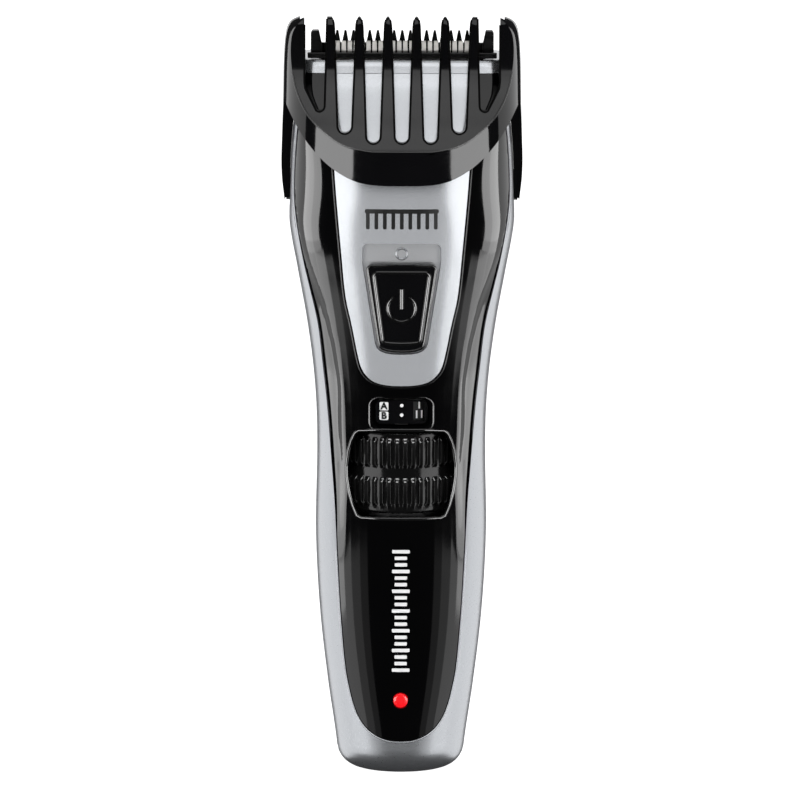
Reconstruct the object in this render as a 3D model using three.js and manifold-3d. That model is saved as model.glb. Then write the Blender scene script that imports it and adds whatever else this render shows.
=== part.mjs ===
// Battery hair clipper with a height-adjustable guide comb.
// Millimetres, +Z up. The clipper stands on its flat base, the origin is the centre of that base,
// X runs across the width and the controls face -Y.

import * as THREE from 'three';
import { mergeVertices } from 'three/addons/utils/BufferGeometryUtils.js';
import Module from 'manifold-3d';

const wasm = await Module();
wasm.setup();

// ---------- driving dimensions ----------

const GAP = 0.3;                 // air between pieces that would touch
const WALL = 2.4;                // thickness of the case
const CASE_TOP = 160;            // upper end of both case shells
const BASE_ROUND = 4.8;          // rounding between the flat base and the sides
const RING_POINTS = 36;          // corners of each cross-section of the case

const PANEL_DEPTH = 1.0;         // thickness of the silver inlay
const WHEEL = { x: 0, y: -3.1, radius: 14.2, bore: 8.5, bottom: 60.6, top: 79.2 };
const RING_RADIUS = 12.9;        // number ring on top of the wheel
const RING_TOP = 87.4;
const WHEEL_CLEARANCE = 0.35;    // air round the wheel and the ring in the shell
const WHEEL_RIBS = 48;
const RIB_ROWS = [[62.2, 68.8], [71.0, 77.8]];
const RIB_DEPTH = 0.6;

const MOTOR = { y: 0.5, radius: 10, bottom: 100.5, top: 125.5 };
const CRANK_RADIUS = 1.2;        // offset of the crank pin, half of the cutter's stroke
const COMB_TRAVEL = 9;           // 1 mm to 10 mm of hair length
const SLIDER_TRAVEL = 4.7;

const TOOTH_PITCH = 6.4;         // guide comb
const GUARD_PITCH = 1.82;        // fixed blade
const CUTTER_PITCH = 1.38;       // moving blade
const CUTTER_ROOM = { x: 18.4, y: -9.3, bottom: 150, top: 165 };  // where the moving blade swings

// ---------- profiles along the height: [height, value] ----------

const caseHalfWidth = profile([
  [0, 14.0], [6, 14.5], [20, 16.5], [36, 18.3], [54, 19.25], [72, 19.0], [82, 19.15], [92, 19.9],
  [103, 21.4], [114, 23.4], [125, 25.3], [132, 25.2], [140, 24.9], [148, 24.3], [155, 23.4], [163, 22.4],
]);
const caseFront = profile([
  [0, 13.6], [20, 15.0], [45, 16.0], [70, 17.0], [95, 18.4], [115, 19.8], [130, 20.8],
  [138, 21.0], [144, 20.0], [148, 18.0], [152, 15.6], [156, 13.4], [160, 11.8], [163, 10.8],
]);
const caseBack = profile([
  [0, 13.6], [20, 15.2], [45, 16.6], [70, 17.2], [95, 17.0], [115, 16.2], [130, 14.8],
  [140, 13.2], [150, 10.4], [163, 6.4],
]);
const caseSquareness = profile([[0, 2.0], [25, 2.4], [60, 2.5], [120, 2.8], [144, 3], [158, 5], [163, 5]]);

const frontShellHalfWidth = profile([
  [9.1, 5.0], [11.7, 8.3], [16.5, 10.6], [23.4, 12.1], [36.9, 13.35], [49.8, 14.1], [62.4, 14.7],
  [71.5, 15.4], [85.2, 16.5], [94.3, 17.5], [103.5, 18.6], [112.6, 20.7], [117.2, 21.8],
  [126, 23.4], [132, 24.0], [140, 23.8], [148, 23.2], [155, 22.3], [162, 21.4],
]);
const panelHalfWidth = profile([
  [92.4, 8.2], [94.9, 9.3], [104.1, 11.2], [110.1, 12.5], [120, 13.5], [139, 15.1], [162, 16.2],
]);

const combHalfWidth = profile([
  [128, 27.0], [138, 27.2], [145, 27.0], [154, 26.8], [163, 26.6], [168, 26.1], [170.5, 25.0],
  [172, 23.2], [172.6, 21.8],
]);
const combFront = profile([[128, 22.3], [136, 22.6], [144, 23.4], [180, 23.4]]);

const CASE_LEVELS = [
  0, 0.5, 1.4, 2.8, 4.8, 11, 20, 32, 45, 58, 72, 84, 96, 106, 116, 125, 132, 138, 144, 148, 152, 156, 160,
];
const CAVITY_LEVELS = [
  WALL, 4.8, 11, 20, 36, 54, 72, 84, 96, 106, 116, 125, 132, 138, 144, 148, 152, 156, 160, 166,
];
const COMB_LEVELS = [128, 136, 144, 154, 163, 168, 170.5, 172, 172.6];

// ---------- shape helpers ----------

/** Smooth curve through [height, value] points, held constant beyond both ends. */
function profile(points) {
  const slope = (i) => {
    const before = points[Math.max(i - 1, 0)];
    const after = points[Math.min(i + 1, points.length - 1)];
    return (after[1] - before[1]) / (after[0] - before[0]);
  };
  return (height) => {
    if (height <= points[0][0]) return points[0][1];
    const last = points.findIndex((point) => point[0] >= height);
    if (last < 0) return points[points.length - 1][1];
    const [z0, v0] = points[last - 1];
    const [z1, v1] = points[last];
    const span = z1 - z0;
    const t = (height - z0) / span;
    const rise = (2 * t ** 3 - 3 * t ** 2 + 1) * v0 + (3 * t ** 2 - 2 * t ** 3) * v1;
    const lean = (t ** 3 - 2 * t ** 2 + t) * slope(last - 1) + (t ** 3 - t ** 2) * slope(last);
    return rise + span * lean;
  };
}

/** Closed solid through a stack of rings, each an array of points with the same count. */
function loft(rings) {
  const count = rings[0].length;
  const positions = rings.flat(2);
  const faces = [];
  for (let level = 0; level < rings.length - 1; level += 1) {
    for (let i = 0; i < count; i += 1) {
      const a = level * count + i;
      const b = level * count + ((i + 1) % count);
      faces.push(a, b, b + count, a, b + count, a + count);
    }
  }
  const lastRing = (rings.length - 1) * count;
  for (let i = 1; i < count - 1; i += 1) {
    faces.push(0, i + 1, i);
    faces.push(lastRing, lastRing + i, lastRing + i + 1);
  }
  const geometry = new THREE.BufferGeometry();
  geometry.setAttribute('position', new THREE.Float32BufferAttribute(positions, 3));
  geometry.setIndex(faces);
  return solid(geometry);
}

/** Turns a closed three.js geometry into a solid for cutting and joining. */
function solid(geometry) {
  const bare = geometry.clone();
  bare.deleteAttribute('normal');
  bare.deleteAttribute('uv');
  const merged = mergeVertices(bare);
  return new wasm.Manifold(new wasm.Mesh({
    numProp: 3,
    vertProperties: new Float32Array(merged.attributes.position.array),
    triVerts: new Uint32Array(merged.index.array),
  }));
}

/** One superellipse cross-section. */
function ring(z, halfWidth, front, back, squareness) {
  const points = [];
  for (let i = 0; i < RING_POINTS; i += 1) {
    const angle = (2 * Math.PI * i) / RING_POINTS;
    const across = Math.sign(Math.cos(angle)) * Math.abs(Math.cos(angle)) ** (2 / squareness);
    const along = Math.sign(Math.sin(angle)) * Math.abs(Math.sin(angle)) ** (2 / squareness);
    points.push([halfWidth * across, (along < 0 ? front : back) * along, z]);
  }
  return points;
}

/** The case's outer form, grown outward (or shrunk, if negative) by a distance. */
function caseForm(grow, levels = CASE_LEVELS) {
  return loft(levels.map((z) => {
    const dip = Math.max(BASE_ROUND - z, 0);
    const inset = BASE_ROUND - Math.sqrt(BASE_ROUND ** 2 - dip ** 2) - grow;
    return ring(z, caseHalfWidth(z) - inset, caseFront(z) - inset, caseBack(z) - inset, caseSquareness(z));
  }));
}

/** Box from its lowest to its highest corner. */
function box(low, high) {
  const size = high.map((value, axis) => value - low[axis]);
  const geometry = new THREE.BoxGeometry(...size);
  geometry.translate(...low.map((value, axis) => value + size[axis] / 2));
  return solid(geometry);
}

/** Two boxes mirrored in the plane x = 0. */
function mirroredBoxes(low, high) {
  return box(low, high).add(box([-high[0], low[1], low[2]], [-low[0], high[1], high[2]]));
}

/** Upright cylinder between two heights. */
function post(x, y, radius, bottom, top, sides = 20) {
  const geometry = new THREE.CylinderGeometry(radius, radius, top - bottom, sides);
  geometry.rotateX(Math.PI / 2);
  geometry.translate(x, y, (bottom + top) / 2);
  return solid(geometry);
}

/** Cylinder that lies along Y. */
function dowel(x, z, radius, yLow, yHigh, sides = 16) {
  const geometry = new THREE.CylinderGeometry(radius, radius, yHigh - yLow, sides);
  geometry.translate(x, (yLow + yHigh) / 2, z);
  return solid(geometry);
}

/** Outline in x and z, pushed through from yLow to yHigh. */
function faceExtrude(shape, yLow, yHigh, curveSegments = 6) {
  const options = { depth: yHigh - yLow, bevelEnabled: false, curveSegments };
  const geometry = new THREE.ExtrudeGeometry(shape, options);
  geometry.rotateX(Math.PI / 2);
  geometry.translate(0, yHigh, 0);
  return solid(geometry);
}

/** Outline in y and z, pushed through from xLow to xHigh. */
function sideExtrude(shape, xLow, xHigh, curveSegments = 6) {
  const options = { depth: xHigh - xLow, bevelEnabled: false, curveSegments };
  const geometry = new THREE.ExtrudeGeometry(shape, options);
  const turn = new THREE.Matrix4().makeBasis(
    new THREE.Vector3(0, 1, 0),
    new THREE.Vector3(0, 0, 1),
    new THREE.Vector3(1, 0, 0),
  );
  geometry.applyMatrix4(turn);
  geometry.translate(xLow, 0, 0);
  return solid(geometry);
}

/** Closed outline through points. */
function outline(points) {
  return new THREE.Shape(points.map(([u, v]) => new THREE.Vector2(u, v)));
}

/** Outline that is symmetric in x, from its right-hand points listed bottom to top. */
function symmetricOutline(rightSide) {
  const leftSide = rightSide.filter(([x]) => x > 0).map(([x, z]) => [-x, z]).reverse();
  return outline([...rightSide, ...leftSide]);
}

/** Rectangle with rounded corners. */
function roundedRectangle(left, right, bottom, top, radius) {
  const shape = new THREE.Shape();
  shape.moveTo(left + radius, bottom);
  shape.lineTo(right - radius, bottom);
  shape.absarc(right - radius, bottom + radius, radius, -Math.PI / 2, 0);
  shape.lineTo(right, top - radius);
  shape.absarc(right - radius, top - radius, radius, 0, Math.PI / 2);
  shape.lineTo(left + radius, top);
  shape.absarc(left + radius, top - radius, radius, Math.PI / 2, Math.PI);
  shape.lineTo(left, bottom + radius);
  shape.absarc(left + radius, bottom + radius, radius, Math.PI, 1.5 * Math.PI);
  return shape;
}

const group = new THREE.Group();

/** Adds one named piece to the clipper. */
function piece(name, body, colour, roughness, metalness = 0) {
  const mesh = body.getMesh();
  const geometry = new THREE.BufferGeometry();
  geometry.setAttribute('position', new THREE.BufferAttribute(mesh.vertProperties, 3));
  geometry.setIndex(new THREE.BufferAttribute(mesh.triVerts, 1));
  const material = new THREE.MeshStandardMaterial({ color: colour, roughness, metalness });
  const part = new THREE.Mesh(geometry, material);
  part.name = name;
  group.add(part);
}

// ---------- outlines on the front ----------

/** Black front shell: a long U that is open at the head. */
function frontShellOutline(grow) {
  const heights = [
    9.1, 11.7, 16.5, 23.4, 36.9, 52, 68, 84, 94.3, 103.5, 112.6, 120, 126, 132, 140, 148, 155, 162,
  ];
  const side = heights.map((z) => [frontShellHalfWidth(z) + grow, z]);
  const top = [frontShellHalfWidth(170) + grow, 170];
  return symmetricOutline([[0, 8.2 - grow], [2.8, 8.4 - grow], ...side, top]);
}

/** Silver inlay: narrow and rounded at the bottom, widening to the head. */
function panelOutline(grow) {
  const heights = [92.4, 94.9, 99, 104.1, 110.1, 120, 130, 139, 150];
  const side = heights.map((z) => [panelHalfWidth(z) + grow, z]);
  const bottom = [[0, 90.1 - grow], [4, 90.3 - grow], [6.6, 90.9 - grow]];
  return symmetricOutline([...bottom, ...side, [panelHalfWidth(170) + grow, 170]]);
}

/** Recess that the power slider moves in. */
function recessOutline(grow) {
  return symmetricOutline([
    [0, 97.3 - grow], [3.6, 97.6 - grow], [5.2, 98.4 - grow], [5.9 + grow, 99.4], [8.8 + grow, 118],
    [8.8 + grow, 121.6], [8.4 + grow, 122.4], [7.6 + grow, 122.8 + grow],
  ]);
}

/** The power slider: a trapezoid with a round foot. */
function sliderOutline() {
  return symmetricOutline([
    [0, 97.8], [3.4, 98.1], [4.7, 98.6], [5.4, 99.8], [7.95, 117], [7.6, 117.7], [6.8, 118],
  ]);
}

/** Barrel-shaped opening that the wheel shows through. */
function wheelOpeningOutline() {
  return symmetricOutline([
    [9.4, 59.7], [9.9, 60.2], [11.4, 65], [12.1, 71], [11.4, 75.8], [10.1, 79], [9.6, 79.5],
  ]);
}

// ---------- case ----------

const caseOuter = caseForm(0);
const caseCavity = caseForm(-WALL, CAVITY_LEVELS);
const wallOfCase = caseOuter.subtract(caseCavity);

const CASE_SCREWS = [[-11, 36], [11, 36], [-17.8, 118], [17.8, 118]];
const BOSS_RADIUS = 2.5;
const SCREW_RADIUS = 1.0;
const SCREW_HEAD_RADIUS = 1.9;
const SCREW_SPLIT = 1;           // where the front and rear bosses meet, along Y
const SHELL_SPLIT = -7;          // the front shell reaches back to here, along Y

function caseBoss(x, z, yLow, yHigh, bore) {
  const tube = dowel(x, z, BOSS_RADIUS, yLow, yHigh, 14);
  return tube.intersect(caseOuter).subtract(dowel(x, z, bore, yLow - 1, yHigh + 1, 12));
}

function makeFrontShell() {
  let shell = wallOfCase.intersect(faceExtrude(frontShellOutline(0), -40, SHELL_SPLIT));
  for (const [x, z] of CASE_SCREWS) {
    const boss = dowel(x, z, BOSS_RADIUS, -18.5, SCREW_SPLIT - GAP, 14).intersect(caseOuter);
    shell = shell.add(boss.intersect(caseForm(-1)));
    shell = shell.subtract(dowel(x, z, SCREW_RADIUS + GAP, -10, 5, 12));
  }
  const pocketFloor = caseForm(-PANEL_DEPTH - GAP, [80, ...CASE_LEVELS.slice(11), 170]);
  shell = shell.subtract(faceExtrude(panelOutline(GAP), -40, -1).subtract(pocketFloor));
  shell = shell.subtract(faceExtrude(recessOutline(GAP), -40, -10));
  shell = shell.subtract(faceExtrude(roundedRectangle(-6.1, 6.1, 81, 87, 1.6), -40, -8, 3));
  shell = shell.subtract(faceExtrude(wheelOpeningOutline(), -40, -8));
  const wheelRoom = WHEEL.radius + WHEEL_CLEARANCE;
  const ringRoom = RING_RADIUS + WHEEL_CLEARANCE;
  shell = shell.subtract(post(WHEEL.x, WHEEL.y, wheelRoom, WHEEL.bottom - 0.5, WHEEL.top + 0.4, 32));
  shell = shell.subtract(post(WHEEL.x, WHEEL.y, ringRoom, WHEEL.top, RING_TOP + 0.4, 32));
  const { x, y, bottom, top } = CUTTER_ROOM;
  shell = shell.subtract(box([-x, y, bottom], [x, 0, top]));
  return shell.subtract(dowel(0, 17.5, 2.0, -20, -8));
}

function makeRearShell() {
  let shell = wallOfCase.subtract(faceExtrude(frontShellOutline(GAP), -40, SHELL_SPLIT + GAP));
  shell = shell.subtract(mirroredBoxes([20, -3.2, 126], [30, 3.2, 152]));
  for (const [x, z] of CASE_SCREWS) {
    shell = shell.add(dowel(x, z, BOSS_RADIUS, SCREW_SPLIT, 20, 14).intersect(caseForm(-1)));
    shell = shell.subtract(dowel(x, z, SCREW_RADIUS + GAP, 0, 25, 12));
    shell = shell.subtract(dowel(x, z, SCREW_HEAD_RADIUS + GAP, 9, 25, 14));
  }
  return shell.subtract(post(0, 4.6, 3.4, -1, 5, 16));
}

piece('front_shell', makeFrontShell(), 0x080808, 0.08);
piece('rear_shell', makeRearShell(), 0xb4b8bd, 0.35, 0.6);

CASE_SCREWS.forEach(([x, z], index) => {
  const head = dowel(x, z, SCREW_HEAD_RADIUS, 9.3, 10.6, 14);
  const shank = dowel(x, z, SCREW_RADIUS, -7, 9.4, 10);
  const slot = box([x - 1.4, 10.1, z - 0.25], [x + 1.4, 11, z + 0.25]);
  piece(`case_screw_${index + 1}`, head.add(shank).subtract(slot), 0x8c8f92, 0.35, 0.9);
});

// ---------- inlay, switch and window ----------

const HEAD_LEVELS = [80, 84, 96, 106, 116, 125, 132, 138, 144, 148, 152, 156, 160];

function surfaceSlice(shape, outer, inner, levels = HEAD_LEVELS) {
  const skin = caseForm(outer, levels).subtract(caseForm(inner, [levels[0] - 1, ...levels, 171]));
  return skin.intersect(faceExtrude(shape, -40, -5));
}

const inlay = surfaceSlice(panelOutline(0), 0, -PANEL_DEPTH);
piece('inlay_panel', inlay.subtract(faceExtrude(recessOutline(0), -40, -5)), 0xc9ced4, 0.3, 0.6);

const trayFloor = surfaceSlice(recessOutline(0), -1.9, -2.9);
piece('switch_tray', trayFloor.subtract(box([-2.4, -30, 101], [2.4, -5, 112])), 0xa9adb1, 0.4, 0.6);

const slider = surfaceSlice(sliderOutline(), 0.7, -1.0);
piece('power_slider', slider, 0x0b0b0b, 0.15);

const carrierStem = box([-1.6, -17.6, 101.4], [1.6, -14.6, 106.4]);
const carrierPlate = box([-4, -15.4, 100.6], [4, -14.4, 107.2]);
piece('slider_carrier', carrierStem.add(carrierPlate), 0x202020, 0.5);

const toggle = box([-1, -14.1, 102.8], [1, -12.3, 104.8]);
piece('switch_toggle', toggle, 0xe8e4d8, 0.5);
const toggleSlot = box([-1.3, -14, 102.5], [1.3, -12, 110]);
const switchCase = box([-4.2, -13.2, 100.2], [4.2, -11.3, 113.5]).subtract(toggleSlot);
piece('slide_switch', switchCase, 0xa8aaac, 0.3, 0.9);
piece('switch_board', box([-8, -11, 100.2], [8, -9.9, 121]), 0x1f5a34, 0.5);

const LENS_LEVELS = [72, 84, 96, 106];
const lens = surfaceSlice(roundedRectangle(-5.8, 5.8, 81.3, 86.7, 1.4), -0.4, -1.4, LENS_LEVELS);
piece('window_lens', lens, 0x050505, 0.05);

// ---------- length wheel ----------

function wheelProfile() {
  const { radius, bore, bottom, top } = WHEEL;
  const land = radius - RIB_DEPTH;
  return [
    [bore, bottom], [land - 0.8, bottom], [land, bottom + 0.6],
    [land, top - 0.6], [land - 0.8, top], [bore, top],
  ];
}

function makeZoomWheel() {
  const points = wheelProfile().map(([r, z]) => new THREE.Vector2(r, z));
  points.push(points[0].clone());
  const geometry = new THREE.LatheGeometry(points, WHEEL_RIBS);
  geometry.rotateX(Math.PI / 2);
  geometry.translate(WHEEL.x, WHEEL.y, 0);
  let wheel = solid(geometry);
  const ribs = [];
  for (const [low, high] of RIB_ROWS) {
    for (let i = 0; i < WHEEL_RIBS; i += 1) {
      const angle = (2 * Math.PI * (i + 0.5)) / WHEEL_RIBS;
      const bar = new THREE.BoxGeometry(1.1, 2 * RIB_DEPTH, high - low);
      bar.translate(0, -(WHEEL.radius - RIB_DEPTH), (low + high) / 2);
      bar.rotateZ(angle);
      bar.translate(WHEEL.x, WHEEL.y, 0);
      ribs.push(solid(bar));
    }
  }
  wheel = wheel.add(wasm.Manifold.union(ribs));
  return wheel;
}

piece('zoom_wheel', makeZoomWheel(), 0x141414, 0.3);

function tube(x, y, outer, inner, bottom, top, sides = 24) {
  return post(x, y, outer, bottom, top, sides).subtract(post(x, y, inner, bottom - 1, top + 1, sides));
}

const numberRing = tube(WHEEL.x, WHEEL.y, RING_RADIUS, WHEEL.bore, WHEEL.top + GAP, RING_TOP);
piece('number_ring', numberRing, 0x0c0c0c, 0.4);
piece('wheel_seat', tube(WHEEL.x, WHEEL.y, 10.6, WHEEL.bore, 58.6, WHEEL.bottom - GAP), 0x2a2a2a, 0.5);

const detentArm = box([-11, 11.6, 68.6], [11, 12.1, 71.4]);
const detentNose = dowel(0, 70, 1.0, 11.3, 11.8, 8);
piece('wheel_detent', detentArm.add(detentNose), 0xb5b5b0, 0.3, 0.9);

// ---------- comb carriage ----------

const ARM = { inner: 12.0, outer: 14.4, yLow: -4.2, yHigh: 2.6 };

function makeCarriage() {
  const screwTube = tube(WHEEL.x, WHEEL.y, WHEEL.bore - GAP, 6.4, 62, 90.6, 28);
  const bar = box([-ARM.outer, -5.6, 88.2], [ARM.outer, 1.2, 90.6]);
  const arms = mirroredBoxes([ARM.inner, ARM.yLow, 88.2], [ARM.outer, ARM.yHigh, 136]);
  const lugs = mirroredBoxes([ARM.outer - 0.4, -2.6, 130], [26.0, 2.6, 136]);
  return screwTube.add(bar).add(arms).add(lugs);
}

piece('comb_carriage', makeCarriage(), 0x3a3a3c, 0.45);

// ---------- guide comb ----------

/** The front face that carries the teeth, in y and z, with everything before it. */
function beforeCombFace() {
  return outline([
    [-30, 143.9], [-23.3, 143.9], [-22.4, 145.6], [-21.1, 148.2], [-18.6, 152.1], [-15.5, 157.5],
    [-13.3, 163.1], [-12.2, 168], [-11.5, 171.2], [-10.9, 172.2], [-10.2, 173], [-30, 173],
  ]);
}

/** Space that the case, head and blades take inside the comb. */
function combSpace() {
  const around = caseForm(0.45, [110, ...CASE_LEVELS.slice(14), 163.2]);
  const aboveHead = sideExtrude(outline([
    [-10.9, 158], [-10.9, 164.9], [-9.4, 165.6], [-9.0, 180], [30, 180], [30, 158],
  ]), -22.9, 22.9);
  const behind = box([-22.9, -8, 128], [22.9, 40, 180]);
  return around.add(aboveHead).add(behind);
}

/** Everything below the lower edge of the front band. */
function belowCombBand() {
  return outline([
    [-40, 120], [40, 120], [40, 154], [26.6, 154], [23.2, 148.2], [20.2, 144.3], [16, 140.3], [11, 137.4],
    [6.5, 136.4], [-6.5, 136.4], [-11, 137.4], [-16, 140.3], [-20.2, 144.3], [-23.2, 148.2], [-26.6, 154],
    [-40, 154],
  ]);
}

/** Side wall and arm as seen from the side, in y and z. */
function combSideOutline() {
  return outline([
    [-12, 154], [-8.4, 154], [-5.2, 149], [-3.6, 143], [-3.4, 131.6], [-2.6, 130.2], [-1.2, 129.6], [1.2, 129.6],
    [2.6, 130.2], [3.4, 131.6], [3.6, 143], [4.8, 149], [5.6, 156], [5.2, 163], [2.8, 168], [-2, 171],
    [-8, 173], [-12, 175],
  ]);
}

/** One slot between two comb teeth: round at its foot and open at the tips. */
function slotOutline(x, foot, footRadius) {
  const shape = new THREE.Shape();
  shape.moveTo(x + footRadius, foot + footRadius);
  shape.lineTo(x + 2.15, 163);
  shape.lineTo(x + 2.45, 175);
  shape.lineTo(x - 2.45, 175);
  shape.lineTo(x - 2.15, 163);
  shape.lineTo(x - footRadius, foot + footRadius);
  shape.absarc(x, foot + footRadius, footRadius, Math.PI, 2 * Math.PI);
  return shape;
}

/** Slot at the comb's corner, with a slanting outer side. */
function cornerSlotOutline(side) {
  const points = [
    [17.3, 154.4], [17.6, 153.1], [18.4, 152.4], [19.3, 153.0], [21.5, 156.6], [21.9, 158.4],
    [21.9, 175], [16.75, 175], [17.0, 163],
  ];
  return outline(points.map(([x, z]) => [side * x, z]));
}

function makeComb() {
  let comb = loft(COMB_LEVELS.map((z) => ring(z, combHalfWidth(z), combFront(z), combFront(z), 3)));
  comb = comb.subtract(combSpace());
  comb = comb.subtract(sideExtrude(beforeCombFace(), -30, 30));
  comb = comb.subtract(faceExtrude(belowCombBand(), -40, -8.4));
  const sideRegion = sideExtrude(combSideOutline(), -30, 30);
  comb = comb.subtract(box([-40, -8.4, 100], [40, 40, 200]).subtract(sideRegion));
  for (let i = -2; i <= 2; i += 1) {
    const foot = Math.abs(i) === 2 ? 147.8 : 145.7;
    comb = comb.subtract(faceExtrude(slotOutline(i * TOOTH_PITCH, foot, 1.6), -40, -5, 5));
  }
  comb = comb.subtract(faceExtrude(cornerSlotOutline(1), -40, -5));
  comb = comb.subtract(faceExtrude(cornerSlotOutline(-1), -40, -5));
  const lugGroove = mirroredBoxes([24, -2.9, 120], [26.3, 2.9, 136.3]);
  return comb.subtract(lugGroove);
}

piece('comb', makeComb(), 0x1b1b1c, 0.3);

// ---------- blades and head ----------

/** Row of teeth in x and z on top of a plate. */
function bladeOutline(halfWidth, foot, root, tip, pitch, gapAtRoot, tipWidth) {
  const points = [[-halfWidth, foot], [halfWidth, foot], [halfWidth, root]];
  const teeth = Math.floor((2 * halfWidth) / pitch);
  const start = (teeth * pitch) / 2;
  for (let i = 0; i < teeth; i += 1) {
    const centre = start - pitch * (i + 0.5);
    const halfRoot = (pitch - gapAtRoot) / 2;
    points.push([centre + halfRoot, root], [centre + tipWidth / 2, tip]);
    points.push([centre - tipWidth / 2, tip], [centre - halfRoot, root]);
  }
  points.push([-halfWidth, root]);
  return outline(points);
}

const GUARD = { yLow: -7.3, yHigh: -6.1 };
const CUTTER = { yLow: -8.6, yHigh: -7.6 };
const BLADE_SCREWS = [-10, 10];
const BLADE_SCREW_HEIGHT = 152.8;

function makeFixedBlade() {
  const teeth = bladeOutline(18.2, 150.6, 164.6, 169.1, GUARD_PITCH, 0.5, 0.35);
  const plate = faceExtrude(teeth, GUARD.yLow, GUARD.yHigh);
  const ends = mirroredBoxes([18.0, CUTTER.yLow, 164.5], [20.5, GUARD.yHigh, 169.2]);
  const shoulders = mirroredBoxes([18.0, GUARD.yLow, 163.3], [20.5, GUARD.yHigh, 165]);
  let blade = plate.add(ends).add(shoulders);
  blade = blade.subtract(box([-4.4, -12, 154], [4.4, 0, 160]));
  for (const x of BLADE_SCREWS) {
    blade = blade.subtract(dowel(x, BLADE_SCREW_HEIGHT, 1.2, -12, 0, 12));
  }
  return blade;
}

piece('fixed_blade', makeFixedBlade(), 0x1a1a1a, 0.35, 0.8);

const cutterPlate = bladeOutline(16.7, 155.2, 163.9, 166.9, CUTTER_PITCH, 0.32, 0.8);
piece('cutter_blade', faceExtrude(cutterPlate, CUTTER.yLow, CUTTER.yHigh), 0xd5d3cc, 0.25, 1);

piece('blade_clamp', box([-21.2, -10.3, 163.2], [21.2, -9.0, 164.5]), 0x0a0a0a, 0.3);

function makeHeadCover() {
  const levels = [CASE_TOP + GAP, 161.6, 162.9];
  const block = loft(levels.map((z) => {
    const bevel = z > 162 ? 0.5 : 0;
    return ring(z, caseHalfWidth(z) - bevel, caseFront(z) - bevel, caseBack(z) - bevel, caseSquareness(z));
  }));
  return block.subtract(box([-18.7, -9.0, 150], [18.7, -5.7, 170]));
}

piece('head_cover', makeHeadCover(), 0xd0d5da, 0.3, 0.6);

function makeBladeSupport() {
  let block = box([-18.6, -5.8, 150.4], [18.6, 2.6, CASE_TOP]);
  block = block.subtract(box([-4.6, -7, 140], [4.6, -2.6, 170]));
  for (const x of BLADE_SCREWS) {
    block = block.subtract(dowel(x, BLADE_SCREW_HEIGHT, 1.2, -12, -1.5, 12));
  }
  return block;
}

piece('blade_support', makeBladeSupport(), 0x222224, 0.5);

BLADE_SCREWS.forEach((x, index) => {
  const head = dowel(x, BLADE_SCREW_HEIGHT, 1.8, -8.6, -7.6, 14);
  const shank = dowel(x, BLADE_SCREW_HEIGHT, 0.9, -7.7, -2, 10);
  piece(`blade_screw_${index + 1}`, head.add(shank), 0x9a9c9e, 0.3, 0.9);
});

piece('blade_spring', box([-12, -9.5, 156.4], [12, -8.9, 158.0]), 0xb9b9b4, 0.3, 0.9);

// ---------- drive ----------

const FORK = { halfWidth: 6, yLow: -5, yHigh: 6, bottom: 133.6, top: 136.8 };

function makeDriveLever() {
  const frame = box([-FORK.halfWidth, FORK.yLow, FORK.bottom], [FORK.halfWidth, FORK.yHigh, FORK.top]);
  const window = box([-3.7, MOTOR.y - 3.7, 130], [3.7, MOTOR.y + 3.7, 140]);
  const stem = box([-2.5, FORK.yLow, FORK.bottom], [2.5, -3.4, 158]);
  const tab = box([-2.5, GUARD.yLow, 156], [2.5, -3.4, 158]);
  return frame.subtract(window).add(stem).add(tab);
}

piece('drive_lever', makeDriveLever(), 0xdedede, 0.5);

piece('motor_can', post(0, MOTOR.y, MOTOR.radius, MOTOR.bottom, MOTOR.top, 28), 0xb8babb, 0.3, 0.9);
const capRing = tube(0, MOTOR.y, 6, 1.4, MOTOR.top + GAP, 127.4, 20);
piece('motor_cap', capRing, 0xf0ece2, 0.5);
piece('motor_shaft', post(0, MOTOR.y, 1.0, MOTOR.top + GAP, 131.6, 12), 0xc8c8c8, 0.2, 1);

const disc = tube(0, MOTOR.y, 4.0, 1.3, 128, 131.4, 20).add(post(0, MOTOR.y, 4.0, 131.9, 132.6, 20));
const discRim = tube(0, MOTOR.y, 4.0, 1.9, 131.2, 132.2, 20);
const crankPin = post(CRANK_RADIUS, MOTOR.y, 1.0, 132.4, 136.4, 12);
piece('eccentric', disc.add(discRim).add(crankPin), 0xe6e2d6, 0.45);

const MOUNT_SCREWS = [-8.4, 8.4];
const MOUNT_SCREW_HEIGHT = 112;

function makeMotorMount() {
  let saddle = box([-10.6, 2, 105], [10.6, 12.3, 119]);
  saddle = saddle.subtract(post(0, MOTOR.y, MOTOR.radius + GAP, 90, 130, 28));
  for (const x of MOUNT_SCREWS) {
    saddle = saddle.subtract(dowel(x, MOUNT_SCREW_HEIGHT, 1.1, 7.6, 20, 12));
  }
  return saddle;
}

piece('motor_mount', makeMotorMount(), 0x2c2c2e, 0.5);

MOUNT_SCREWS.forEach((x, index) => {
  const shank = dowel(x, MOUNT_SCREW_HEIGHT, 0.8, 8, 13.2, 10);
  const head = dowel(x, MOUNT_SCREW_HEIGHT, 1.5, 13.1, 13.7, 12);
  piece(`mount_screw_${index + 1}`, head.add(shank).intersect(caseForm(-WALL - GAP)), 0x9a9c9e, 0.3, 0.9);
});

// ---------- power ----------

const CELL = { y: 3.2, radius: 7.1, bottom: 13.6, top: 56 };
const cellBody = post(0, CELL.y, CELL.radius, CELL.bottom, CELL.top - 1, 24);
const cellButton = post(0, CELL.y, 2.6, CELL.top - 1.2, CELL.top, 14);
piece('battery_cell', cellBody.add(cellButton), 0x3b5fa8, 0.35);

function batteryContact(name, zLow, zHigh) {
  piece(name, box([-3.5, CELL.y - 3, zLow], [3.5, CELL.y + 3, zHigh]), 0xcfc9b4, 0.3, 1);
}

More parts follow.
